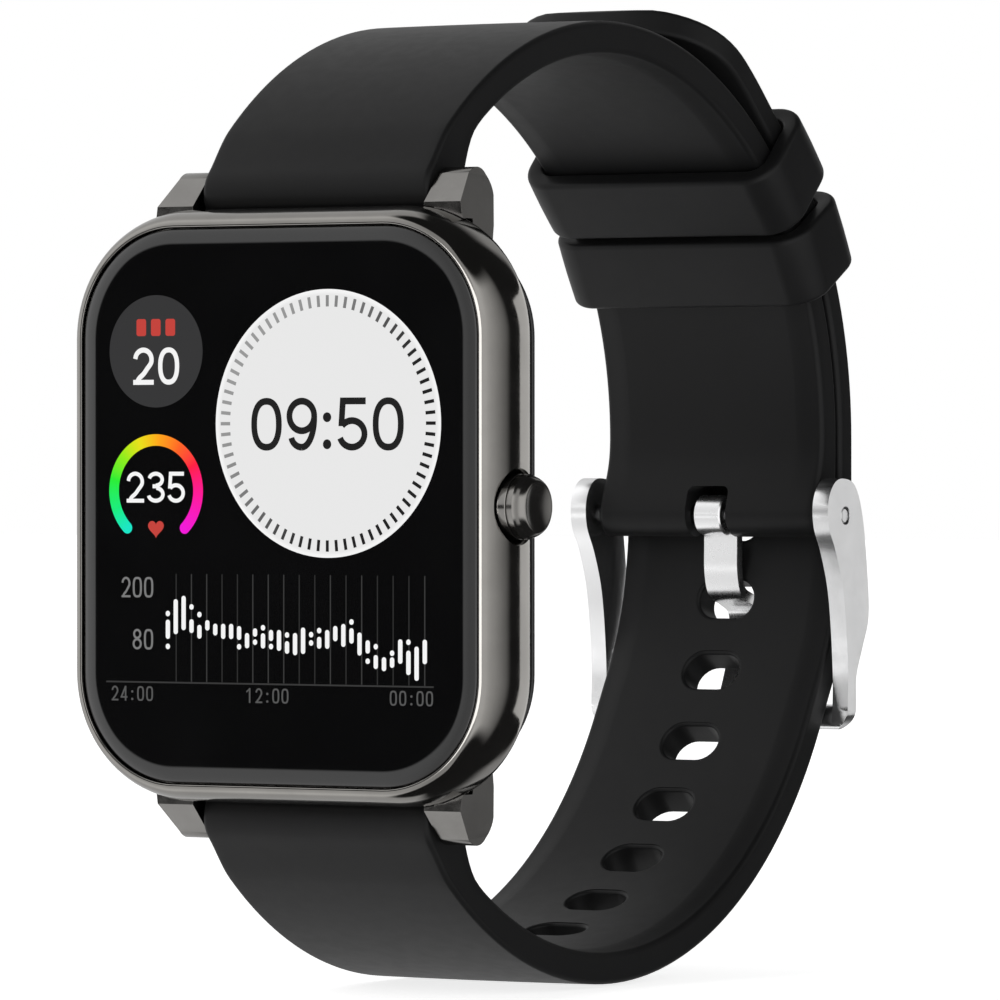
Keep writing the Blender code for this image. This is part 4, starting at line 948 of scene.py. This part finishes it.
# round the corners seen from the rear
corners = plate("corners", [rounded_rect(ARM_OUT + 0.02, 12.0, 2.0, 14, centre=(0, PIN_Z - 5.0))],
                y_at(PIN_D - 6), y_at(PIN_D + 8), 'XZ')
buckle = boolean(buckle, corners, operation='INTERSECT')
buckle = boolean(buckle, rod("arm_bore", 0.72, -13, 13, PIN_D, PIN_Z, 48))
put("buckle_polished", buckle, STEEL, "buckle", "buckle_frame", 32,
    weighted=True)

PIN = [(0, -11.71), (0.40, -11.70), (0.52, -11.66), (0.58, -11.58), (0.58, 11.58),
       (0.52, 11.66), (0.40, 11.70), (0, 11.71)]                            # (radius, x)
put("buckle_pin_rod", spin_x("buckle_pin_rod", PIN, PIN_D, PIN_Z, 40), STEEL, "buckle",
    "buckle_pin", 30)

# Centreline of the tang's blade, (depth, z) from the pin
BLADE = [(1.15, -0.3), (1.15, -2.4), (1.18, -4.5), (1.75, -6.05), (3.30, -6.72), (4.70, -7.40),
         (5.15, -8.7), (4.95, -10.8), (4.05, -13.2), (2.90, -15.5), (2.55, -16.4)]
KNUCKLE = [(0, -1.25), (1.30, -1.25), (1.48, -1.20), (1.58, -1.08), (1.58, 1.08),
           (1.48, 1.20), (1.30, 1.25), (0, 1.25)]                           # (radius, x)
blade = stroke(catmull(from_pin(BLADE), 8, closed=False), weight=0.84)
tang = bevelled(plate("tang_polished", blade, -1.5, 1.5, 'YZ'), width=0.15, segments=3, angle=50)
tang = boolean(tang, spin_x("knuckle", KNUCKLE, PIN_D, PIN_Z, 64), operation='UNION')
tang = boolean(tang, rod("tang_bore", 0.72, -3, 3, PIN_D, PIN_Z, 40))
put("tang_polished", tang, TANG_STEEL, "tang", "buckle_tang", 32,
    weighted=True)

# ---------------------------------------------------------------- rear of case
SCREW_X, SCREW_Z = 12.75, 15.9
CONTACT_X, CONTACT_Z = 2.0, -13.4
WINDOW_R = 7.15
# (depth, inset)
REAR_ROWS = [(8.80, 5.0), (8.80, 2.25), (8.84, 2.19), (8.92, 2.15), (9.05, 2.15),
             (9.20, 2.25), (9.35, 2.42), (9.50, 2.70), (9.65, 3.05), (9.78, 3.48),
             (9.88, 3.95), (9.95, 4.4), (9.99, 4.8), (10.0, 5.2)]
# (radius, depth) of the openings
WINDOW_CUT = [(0, 8.0), (WINDOW_R, 8.0), (WINDOW_R, 9.86), (WINDOW_R + 0.05, 9.94),
              (WINDOW_R + 0.16, 10.02), (WINDOW_R + 0.16, 11), (0, 11)]
SHANK_CUT = [(0, 8.0), (0.80, 8.0), (0.80, 10.5), (0, 10.5)]
HEAD_CUT = [(0, 9.25), (1.35, 9.25), (1.35, 9.86), (1.45, 10.01), (1.45, 10.6), (0, 10.6)]
CONTACT_CUT = [(0, 8.0), (1.2, 8.0), (1.2, 9.92), (1.28, 10.01), (1.28, 10.6), (0, 10.6)]
cover = boolean(case_loft("rear_shell", REAR_ROWS, steps=20),
                spin_y("window_cut", WINDOW_CUT, 0, 0, 96))
for side_x in (-1, 1):
    for side_z in (-1, 1):
        screw = (side_x * SCREW_X, side_z * SCREW_Z)
        cover = boolean(cover, spin_y("shank", SHANK_CUT, *screw, 32),
                        spin_y("head", HEAD_CUT, *screw, 48))
    cover = boolean(cover, spin_y("contact", CONTACT_CUT, side_x * CONTACT_X, CONTACT_Z, 48))
put("rear_shell", cover, REAR, "case", "rear_cover", 32, weighted=True)

lens = [(radius, 10.80) for radius in (0, 2.0, 4.0, 6.1)]
for angle in range(9, 91, 9):
    lens.append((6.1 + 0.9 * math.sin(math.radians(angle)),
                 10.80 - 0.7 * (1 - math.cos(math.radians(angle)))))
lens += [(7.0, 8.95), (0, 8.95)]
put("sensor_lens", spin_y("sensor_lens", lens, 0, 0, 96), LENS, "case", "sensor_window",
    30)

CONTACT_PAD = [(0, 10.06), (0.70, 10.06), (0.85, 10.05), (0.95, 10.0), (1.0, 9.92),
               (1.0, 8.75), (0, 8.75)]                                      # (radius, depth)
for i, side_x in enumerate((-1, 1), start=1):
    put(f"contact_pad_{i}", spin_y("contact_pad", CONTACT_PAD, side_x * CONTACT_X, CONTACT_Z, 48),
        GOLD, "case", f"charging_contact_{i}", 30)

# ------------------------------------------------------- lit display: drawing
# Front faces (y) of the three layers of marks, and the back they share inside the glass
LIT_FRONT, LIT_BACK = FRONT - 0.020, FRONT + 0.12
RAISED_FRONT, SUNK_FRONT = LIT_FRONT - 0.012, LIT_FRONT + 0.01


def show(name, mesh, material):
    put(name, mesh, material, "case")


def lit_plate(name, outlines, front):
    return plate(name, outlines, front, LIT_BACK, 'XZ')


def graphic(name, outlines, material):
    show(name, lit_plate(name, outlines, LIT_FRONT), material)


def joined(name, marks, material, front=LIT_FRONT):
    """Several separate flat marks, each a list of outlines, in one piece."""
    bm = bmesh.new()
    for outlines in marks:
        bm.from_mesh(lit_plate(name + "_m", outlines, front))
    show(name, mesh_from(bm, name), material)


def oval(centre_x, centre_y, radius_x, radius_y, start, end, steps=28, power=2.0):
    """Arc of an oval, counter-clockwise degrees from the right; power above 2 squares it."""
    points = []
    for i in range(steps + 1):
        angle = math.radians(start + (end - start) * i / steps)
        cosine, sine = math.cos(angle), math.sin(angle)
        points.append((centre_x + radius_x * math.copysign(abs(cosine) ** (2 / power), cosine),
                       centre_y + radius_y * math.copysign(abs(sine) ** (2 / power), sine)))
    return points


def rect(x0, y0, x1, y1):
    return [(x0, y0), (x1, y0), (x1, y1), (x0, y1)]


# Proportions of the figures, as fractions of their height
Style = namedtuple("Style", "width weight pitch squared colon", defaults=(2.3, 0.34))
CLOCK_STYLE = Style(width=0.69, weight=0.13, pitch=0.80)
DATE_STYLE = Style(width=0.68, weight=0.135, pitch=0.82)
RATE_STYLE = Style(width=0.69, weight=0.128, pitch=0.80)
SCALE_STYLE = Style(width=0.53, weight=0.105, pitch=0.67, squared=3.2)
TIME_STYLE = Style(width=0.55, weight=0.115, pitch=0.74, squared=3.2, colon=0.62)


def figure(char, style):
    """The strokes of one plain figure, 1 high, each a list of closed outlines."""
    width, weight = style.width, style.weight
    mid, half = width / 2, weight / 2
    reach = mid - half

    def line(points):
        return stroke(points, weight)

    def ring(centre_y, radius_x, radius_y, steps, power=2.0):
        points = oval(mid, centre_y, radius_x, radius_y, 0, 360 * steps / (steps + 1), steps,
                      power)
        return stroke(points, weight, closed=True)

    if char == '0':
        return [ring(0.5, reach, 0.5 - half, 55, style.squared)]
    if char == '1':
        return [[rect(mid - half, 0, mid + half, 1)],
                [[(mid + half * 0.2, 1), (mid - 0.26, 0.80), (mid - 0.26, 0.80 - weight),
                  (mid + half * 0.2, 1 - weight)]]]
    if char == '2':
        top = oval(mid, 1 - half - 0.255, reach * 0.97, 0.255, 176, -32)
        run = [(mid + reach * 0.42, 0.42), (mid + reach * 0.02, 0.29),
               (mid - reach * 0.55, 0.16), (mid - reach * 0.80, 0.02)]
        return [line(catmull(top[::3] + run, 4, closed=False)),
                [rect(0.01, 0, width - 0.005, weight * 0.98)]]
    if char == '3':
        return [line(oval(mid, 0.745, reach * 0.90, 0.255 - half, 168, -88)),
                line(oval(mid, 0.27, reach, 0.27 - half, 84, -168)),
                [rect(mid - reach * 0.42, 0.53 - half, mid + 0.03, 0.53 + half)]]
    if char == '4':
        x = width * 0.74
        return [[rect(x - half, 0, x + half, 1)], [rect(0, 0.25 - half, width, 0.25 + half)],
                line([(x - 0.01, 1 - half * 0.8), (half, 0.25)])]
    if char == '5':
        top, foot = width * 0.10, width * 0.045
        return [[rect(width * 0.13, 1 - weight, width * 0.93, 1)],
                [[(top, 1.0), (top + weight, 1.0), (foot + weight, 0.46), (foot, 0.46)]],
                line(oval(mid - 0.01, 0.315, reach, 0.315 - half, 142, -162, 36))]
    if char == '8':
        return [ring(0.755, reach * 0.86, 0.245 - half, 39), ring(0.275, reach, 0.275 - half, 39)]
    if char == '9':
        return [ring(0.655, reach, 0.345 - half, 47),
                line(oval(mid, 0.62, reach, 0.62 - half, 8, -90, 24)),
                line(oval(mid, 0.29, reach * 0.86, 0.29 - half, -90, -168, 14))]
    # colon
    return [[circle(style.colon * 0.5, y, weight * 0.72, 20)] for y in (0.12, 0.63)]


def digits(name, text, x, z, height, material, style, front=LIT_FRONT):
    """A row of figures centred at (x, z)."""
    gap = style.pitch - style.width
    cursor, cells = 0.0, []
    for char in text:
        is_colon = char == ':'
        cells.append((char, cursor - gap / 2 if is_colon else cursor))
        cursor += style.colon if is_colon else style.pitch
    text_w = cursor - gap
    bm = bmesh.new()
    for char, left in cells:
        parts = []
        for outlines in figure(char, style):
            placed = [[(x + (left + across - text_w / 2) * height, z + (rise - 0.5) * height)
                       for across, rise in outline] for outline in outlines]
            parts.append(lit_plate(name + "_s", placed, front))
        if char != ':':
            parts = [boolean(*parts, operation='UNION')]
        for part in parts:
            bm.from_mesh(part)
    show(name, mesh_from(bm, name), material)


def round_bar(x, low, high, width):
    """Upright bar with round ends, in 22-degree steps."""
    radius = width / 2
    return arc(x, high - radius, radius, 0, 176, 8) + arc(x, low + radius, radius, 180, 356, 8)


def turned(centre, radius, degrees):
    """Point at an angle clockwise from the top."""
    angle = math.radians(degrees)
    return (centre[0] + radius * math.sin(angle), centre[1] + radius * math.cos(angle))


# ----------------------------------------------------- lit display: materials
CLOCK = (4.45, 5.98)                            # centres as (x, z)
RATE = (-10.5, 1.1)


def rgb(*values):
    """Linear colour from 0-255 display values."""
    scaled = [value / 255 for value in values]
    return tuple(v / 12.92 if v <= 0.04045 else ((v + 0.055) / 1.055) ** 2.4 for v in scaled)


def glow(name, level, *others):
    """A lit colour, 0-255, broken up by a faint fine grid; one level alone is a grey."""
    colour = rgb(level, *(others or (level, level)))
    shader = Shader(name)
    grid = shader.node("TexChecker")
    grid.inputs["Scale"].default_value = 9000
    grid.inputs["Color1"].default_value = (*colour, 1)
    grid.inputs["Color2"].default_value = (*[c * 0.96 for c in colour], 1)
    shader.link(shader.coords, grid.inputs["Vector"])
    return shader.lit(grid.outputs["Color"])


def clock_face():
    """Light dial: even pale grey with a slightly brighter rim."""
    shader = Shader("px_clock_disc")
    distance = shader.node("VectorMath", operation='DISTANCE')
    distance.inputs[1].default_value = (CLOCK[0] * MM, FRONT * MM, CLOCK[1] * MM)
    shader.link(shader.coords, distance.inputs[0])
    rim = shader.ramp(distance.outputs["Value"], start=0.00925, end=0.0096)
    return shader.lit(shader.mix(rim, rgb(231, 231, 231), rgb(244, 244, 244)))


def clock_tick():
    """Ticks fade from black at the lower right to mid grey at the upper left."""
    shader = Shader("px_clock_ticks")
    slant = shader.node("VectorMath", operation='DOT_PRODUCT')
    slant.inputs[1].default_value = (0.83, 0.0, -0.56)
    shader.link(shader.coords, slant.inputs[0])
    fade = shader.ramp(slant.outputs["Value"], start=-0.0085, end=0.0045)
    return shader.lit(shader.mix(fade, rgb(150, 150, 150), rgb(12, 12, 12)))


# (position clockwise round the ring, display colour)
RING_STOPS = [(0.0, (0, 228, 196)), (0.10, (0, 236, 120)), (0.22, (30, 236, 40)),
              (0.32, (140, 236, 0)), (0.42, (232, 222, 0)), (0.52, (255, 160, 0)),
              (0.62, (255, 96, 24)), (0.72, (255, 10, 60)), (0.84, (255, 0, 150)),
              (1.0, (240, 0, 214))]


def colour_ring():
    """Colour runs round the ring by angle, clockwise from its lower left end."""
    shader = Shader("px_colour_ring")
    split = shader.node("SeparateXYZ")
    shader.link(shader.coords, split.inputs[0])
    from_x = shader.calc('SUBTRACT', split.outputs["X"], RATE[0] * MM)
    from_z = shader.calc('SUBTRACT', split.outputs["Z"], RATE[1] * MM)
    angle = shader.calc('ARCTAN2', from_x, from_z)
    limit = math.radians(138)
    position = shader.ramp(angle, start=-limit, end=limit, kind='LINEAR')
    ramp = shader.node("ValToRGB")
    elements = ramp.color_ramp.elements
    for element, (_, colour) in zip(elements, (RING_STOPS[0], RING_STOPS[-1])):
        element.color = (*rgb(*colour), 1)
    for place, colour in RING_STOPS[1:-1]:
        elements.new(place).color = (*rgb(*colour), 1)
    shader.link(position, ramp.inputs["Fac"])
    return shader.lit(ramp.outputs["Color"])


LIT_WHITE = glow("px_white", 246)
LIT_INK = glow("px_ink", 14)
LIT_GREY = glow("px_grey", 120)
LIT_DIM = glow("px_dim", 82)
LIT_LINE = glow("px_line", 48)
LIT_FAINT = glow("px_line_faint", 33)
LIT_DISC = glow("px_date_disc", 46, 46, 47)
LIT_RED = glow("px_red", 196, 62, 54)

# ------------------------------------------------- lit display: clock and date
graphic("clock_disc", [circle(*CLOCK, 9.68, 160)], clock_face())
ticks = [stroke([turned(CLOCK, 8.42, 5 * k), turned(CLOCK, 9.24, 5 * k)], weight=0.25)
         for k in range(72)]
joined("clock_ticks", ticks, clock_tick(), RAISED_FRONT)
digits("clock_digits", "09:50", CLOCK[0] - 0.02, 5.93, 3.82, LIT_INK, CLOCK_STYLE, RAISED_FRONT)
graphic("date_disc", [circle(-10.5, 11.28, 4.1, 96)], LIT_DISC)
digits("date_digits", "20", -10.48, 10.2, 2.72, LIT_WHITE, DATE_STYLE, RAISED_FRONT)
joined("date_marks", [[rounded_rect(0.42, 0.62, 0.18, 5, centre=(-10.5 + 1.28 * i, 13.02))]
                      for i in (-1, 0, 1)], LIT_RED, RAISED_FRONT)


# --------------------------------------------------- lit display: coloured ring
def rate_ring():
    """Open ring with round ends, its gap at the bottom."""
    outer_r, inner_r, end = 4.13, 3.29, 137.0
    mid_r, cap_r = (outer_r + inner_r) / 2, (outer_r - inner_r) / 2

    def sweep(centre, radius, start, stop, steps):
        return [turned(centre, radius, start + (stop - start) * i / steps)
                for i in range(steps + 1)]

    return (sweep(RATE, outer_r, -end, end, 96)
            + sweep(turned(RATE, mid_r, end), cap_r, end + 15, end + 165, 10)
            + sweep(RATE, inner_r, end, -end, 96)
            + sweep(turned(RATE, mid_r, -end), cap_r, 195 - end, 345 - end, 10))


def heart():
    points = []
    for i in range(48):
        t = 2 * math.pi * i / 48
        rise = 13 * math.cos(t) - 5 * math.cos(2 * t) - 2 * math.cos(3 * t) - math.cos(4 * t)
        points.append((-10.5 + 0.043 * 16 * math.sin(t) ** 3, -1.62 + 0.043 * rise))
    return points


graphic("rate_ring", [rate_ring()], colour_ring())
digits("rate_digits", "235", -10.52, 1.36, 2.26, LIT_WHITE, RATE_STYLE)
graphic("rate_mark", [heart()], LIT_RED)

# ---------------------------------------------------------- lit display: chart
digits("scale_high", "200", -12.15, -5.95, 1.50, LIT_GREY, SCALE_STYLE)
digits("scale_low", "80", -11.66, -9.75, 1.50, LIT_GREY, SCALE_STYLE)
RULE_X0, RULE_PITCH, RULE_HALF_W = -8.72, 1.342, 0.05
STRONG_RULES = (1, 2, 5, 6, 7, 10, 12, 16)
FAINT_RULES = [k for k in range(17) if k not in STRONG_RULES]
for name, material, rules in (("chart_rules_strong", LIT_LINE, STRONG_RULES),
                              ("chart_rules_faint", LIT_FAINT, FAINT_RULES)):
    places = [RULE_X0 + RULE_PITCH * k for k in rules]
    joined(name, [[rect(x - RULE_HALF_W, -12.8, x + RULE_HALF_W, -4.95)] for x in places],
           material, SUNK_FRONT)
graphic("chart_base", [rect(-14.9, -12.94, 13.5, -12.82)], LIT_LINE)

COLUMN_X0, COLUMN_PITCH, MARK_W = -9.45, 0.694, 0.36
# Each column: bar top, bar bottom and the middles of single dots, all as distances below z = 0
COLUMNS = [
    (8.3, 9.7, (7.85, 10.25)), (6.8, 9.35, ()), (6.55, 9.05, ()), (8.25, 9.25, (7.35,)),
    (8.65, 9.65, (7.9,)), (8.3, 9.05, ()), (8.55, 9.4, ()), (8.55, 9.65, ()), (8.55, 9.65, ()),
    (8.7, 9.7, (10.2,)), (9.2, 10.3, ()), (8.85, 9.45, (9.85,)), (9.2, 10.3, (8.8,)),
    (8.95, 9.75, (10.15,)), (8.95, 10.45, ()), (9.75, 10.65, (9.3,)), (9.15, 10.75, ()),
    (8.75, 10.65, ()), (None, None, (9.25, 9.85)), (9.4, 10.25, (8.95,)), (8.9, 10.25, ()),
    (8.6, 9.7, ()), (8.45, 10.1, ()), (8.75, 9.85, (8.3,)), (9.05, 10.7, ()),
    (9.6, 10.55, (11.1,)), (10.65, 11.65, (10.05,)), (10.8, 11.8, ()), (10.8, 11.55, (10.5,)),
    (9.5, 11.25, ()), (10.3, 12.05, (9.7,)), (10.0, 12.45, ()), (9.5, 11.25, ())]
marks = []
for k, (top, bottom, dots) in enumerate(COLUMNS):
    x = COLUMN_X0 + COLUMN_PITCH * k
    if top is not None:
        marks.append([round_bar(x, -bottom, -top, MARK_W)])
    marks += [[round_bar(x, -dot - 0.20, -dot + 0.20, MARK_W)] for dot in dots]
joined("chart_marks", marks, LIT_WHITE)
for name, text, x in (("time_left", "24:00", -12.6), ("time_mid", "12:00", -0.75),
                      ("time_right", "00:00", 11.62)):
    digits(name, text, x, -13.72, 1.08, LIT_DIM, TIME_STYLE)

# ------------------------------------------- materials on the CAD's own nodes
NODE_MATERIALS = (
    (SEAL, ("glass_gasket", "rear_gasket", "button_seal")),
    (PANEL, ("display_module",)),
    (INNER, ("mid_plate", "side_switch")),
    (BOARD, ("main_board", "sensor_board")),
    (FOIL, ("battery",)),
    (NICKEL, ("vibration_motor", "charging_magnet_1", "charging_magnet_2")),
    (STEEL, ("rear_screw_1", "rear_screw_2", "rear_screw_3", "rear_screw_4",
             "spring_bar_upper", "spring_bar_lower", "release_pin_upper", "release_pin_lower")),
    (SPRING_STEEL, ("release_spring_upper", "release_spring_lower", "button_spring",
                    "button_clip")))
for material, names in NODE_MATERIALS:
    for name in names:
        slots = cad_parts[name].data.materials
        if not slots:
            slots.append(material)
        for i in range(len(slots)):
            slots[i] = material


# ------------------------------------------------------------------- the floor
def floor_paper():
    """Pale, softly lit paper that mirror reflections pass through."""
    shader = Shader("floor_paper")
    shader.tone((0.80, 0.80, 0.80), (0.82, 0.82, 0.82), scale=12, detail=3)
    shader.set(Roughness=0.9, Specular_IOR_Level=0.1, Emission_Color=(1, 1, 1, 1),
               Emission_Strength=0.80)
    clear = shader.node("BsdfTransparent")
    mix = shader.node("MixShader")
    rays = shader.node("LightPath")
    shader.link(rays.outputs["Is Glossy Ray"], mix.inputs[0])
    shader.link(shader.bsdf.outputs[0], mix.inputs[1])
    shader.link(clear.outputs[0], mix.inputs[2])
    shader.link(mix.outputs[0], shader.tree.nodes["Material Output"].inputs["Surface"])
    return shader.mat


lowest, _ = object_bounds()
floor_bm = bmesh.new()
bmesh.ops.create_grid(floor_bm, x_segments=2, y_segments=2, size=3.0)
floor = put("studio_floor", mesh_from(floor_bm, "studio_floor"), floor_paper())
floor.location = (0, 0, lowest.z - 0.0002)

# ------------------------------------------------------------------- the world
BASE_LEVEL = 0.028                              # light outside the bright surround
GAP_AZIMUTH, GAP_ELEVATION = -32.0, 0.3         # where the flat glass mirrors to: kept black
# (azimuth in degrees, light level) round the horizon
ROUND_LEVELS = (
    (-179.0, 0.55), (-170.0, 0.55), (-157.0, 0.0), (-148.0, 0.75), (-104.0, 0.95),
    (-78.0, 1.40), (-60.0, 1.40), (-42.0, 1.10), (-14.0, 0.70), (14.0, 0.78), (30.0, 1.42),
    (62.0, 1.36), (86.0, 1.06), (103.0, 0.84), (116.0, 0.58), (126.0, 0.33), (133.0, 0.0),
    (169.0, 0.0), (177.0, 0.55), (179.0, 0.55))

world = bpy.data.worlds.new("studio")
bpy.context.scene.world = world
world.use_nodes = True
world.node_tree.nodes.clear()
sky = Nodes(world.node_tree)


def within(value, low, high, soft):
    """1 between low and high, with soft shoulders centred on both limits."""
    rise = sky.ramp(value, start=low - soft / 2, end=low + soft / 2)
    fall = sky.ramp(value, low=1.0, high=0.0, start=high - soft / 2, end=high + soft / 2)
    return sky.calc('MULTIPLY', rise, fall)


def piecewise(value, stops):
    """Straight-line steps of light through (degrees, level) stops."""
    total = None
    for (start, first), (end, second) in zip(stops, stops[1:]):
        step = sky.ramp(value, low=0.0, high=second - first, start=start, end=end, kind='LINEAR')
        total = step if total is None else sky.calc('ADD', total, step)
    return sky.calc('ADD', total, stops[0][1])


def studio_light():
    """Light level by direction: azimuth from -Y towards +X, elevation from the horizon."""
    split = sky.node("SeparateXYZ")
    sky.link(sky.node("TexCoord").outputs["Generated"], split.inputs[0])
    to_degrees = 57.29578
    backwards = sky.calc('MULTIPLY', split.outputs["Y"], -1.0)
    azimuth = sky.calc('MULTIPLY', sky.calc('ARCTAN2', split.outputs["X"], backwards), to_degrees)
    elevation = sky.calc('MULTIPLY', sky.calc('ARCSINE', split.outputs["Z"]), to_degrees)
    level = piecewise(azimuth, ROUND_LEVELS)
    # the surround stands taller in front than behind
    front = within(azimuth, low=-156.0, high=20.0, soft=8.0)
    tall = sky.calc('MULTIPLY', front, within(elevation, low=-62.0, high=63.0, soft=9.0))
    short = sky.calc('MULTIPLY', sky.calc('SUBTRACT', 1.0, front),
                     within(elevation, low=-40.0, high=40.0, soft=14.0))
    reach = sky.calc('ADD', tall, short)
    gap = sky.calc(
        'MULTIPLY', within(azimuth, low=GAP_AZIMUTH - 7.0, high=GAP_AZIMUTH + 6.0, soft=3.0),
        within(elevation, low=GAP_ELEVATION - 6.0, high=GAP_ELEVATION + 6.0, soft=3.0))
    surround = sky.calc('MULTIPLY', sky.calc('MULTIPLY', level, reach),
                        sky.calc('SUBTRACT', 1.0, gap))
    base = sky.calc('MULTIPLY', sky.calc('SUBTRACT', 1.0, gap), BASE_LEVEL)
    return sky.calc('ADD', surround, base)


studio = sky.node("Background")
sky.link(studio_light(), studio.inputs["Strength"])
backdrop = sky.node("Background")               # what the camera sees: plain white
backdrop.inputs["Color"].default_value = (1, 1, 1, 1)
backdrop.inputs["Strength"].default_value = 1.0
sky_mix = sky.node("MixShader")
sky.link(sky.node("LightPath").outputs["Is Camera Ray"], sky_mix.inputs[0])
sky.link(studio.outputs[0], sky_mix.inputs[1])
sky.link(backdrop.outputs[0], sky_mix.inputs[2])
sky.link(sky_mix.outputs[0], sky.node("OutputWorld").inputs["Surface"])
bpy.context.scene.view_settings.view_transform = 'Standard'


# ------------------------------------------------------------------ the lights
def heading(azimuth, elevation=0.0):
    around, rise = math.radians(azimuth), math.radians(elevation)
    return Vector((math.sin(around) * math.cos(rise), -math.cos(around) * math.cos(rise),
                   math.sin(rise)))


def card(name, azimuth, distance, size, power, pieces, centre):
    """A soft area light aimed level at centre that lights only the given pieces; metres."""
    data = bpy.data.lights.new(name, 'AREA')
    data.shape = 'RECTANGLE'
    data.size, data.size_y = size
    data.energy = power
    light = bpy.data.objects.new(name, data)
    bpy.context.scene.collection.objects.link(light)
    way = heading(azimuth)
    light.location = Vector(centre) + way * distance
    light.rotation_mode = 'QUATERNION'
    light.rotation_quaternion = way.to_track_quat('Z', 'Y')
    light.visible_camera = False
    group = bpy.data.collections.new(name + "_receivers")
    for piece in pieces:
        group.objects.link(bpy.data.objects[piece])
    light.light_linking.receiver_collection = group


BUCKLE = ["buckle_polished", "buckle_pin_rod", "tang_polished"]
card("buckle_card", azimuth=148, distance=0.5, size=(0.34, 0.34), power=0.235,
     pieces=BUCKLE, centre=(0.012, 0.052, -0.01))
card("front_card", azimuth=-32, distance=0.5, size=(0.34, 0.20), power=0.115,
     pieces=BUCKLE, centre=(0.0, 0.052, -0.008))
card("lip_card", azimuth=-2, distance=0.6, size=(0.46, 0.44), power=1.9,
     pieces=["bezel_ring"], centre=(0.017, -0.0108, 0.0))
card("rim_card", azimuth=162, distance=0.6, size=(0.34, 0.44), power=0.50,
     pieces=["bezel_ring"], centre=(0.018, -0.006, 0.0))
card("lug_card", azimuth=148, distance=0.5, size=(0.40, 0.40), power=0.12,
     pieces=["case_frame_ring"], centre=(0.013, -0.004, 0.0))

# ------------------------------------------------------------------ the camera
CAMERA_AZIMUTH, CAMERA_ELEVATION, CAMERA_DISTANCE = 31.9156, 0.2809, 579.097
AIM_RIGHT, AIM_UP = 16.2, 0.453                 # aim point, from the middle of the display
back = heading(CAMERA_AZIMUTH, CAMERA_ELEVATION)
right = Vector((math.cos(math.radians(CAMERA_AZIMUTH)),
                math.sin(math.radians(CAMERA_AZIMUTH)), 0))
up = right.cross(-back)
target = right * AIM_RIGHT + up * AIM_UP + Vector((0, FRONT, 0))
camera_data = bpy.data.cameras.new("camera")
camera = bpy.data.objects.new("camera", camera_data)
bpy.context.scene.collection.objects.link(camera)
camera.rotation_mode = 'QUATERNION'
camera.location = (target + back * CAMERA_DISTANCE) * MM
camera.rotation_quaternion = Matrix((right, up, back)).transposed().to_quaternion()
camera_data.sensor_width = 36.0
camera_data.lens = 288.3
camera_data.clip_start = 0.02
camera_data.clip_end = 20.0
bpy.context.scene.camera = camera

bpy.context.view_layer.update()
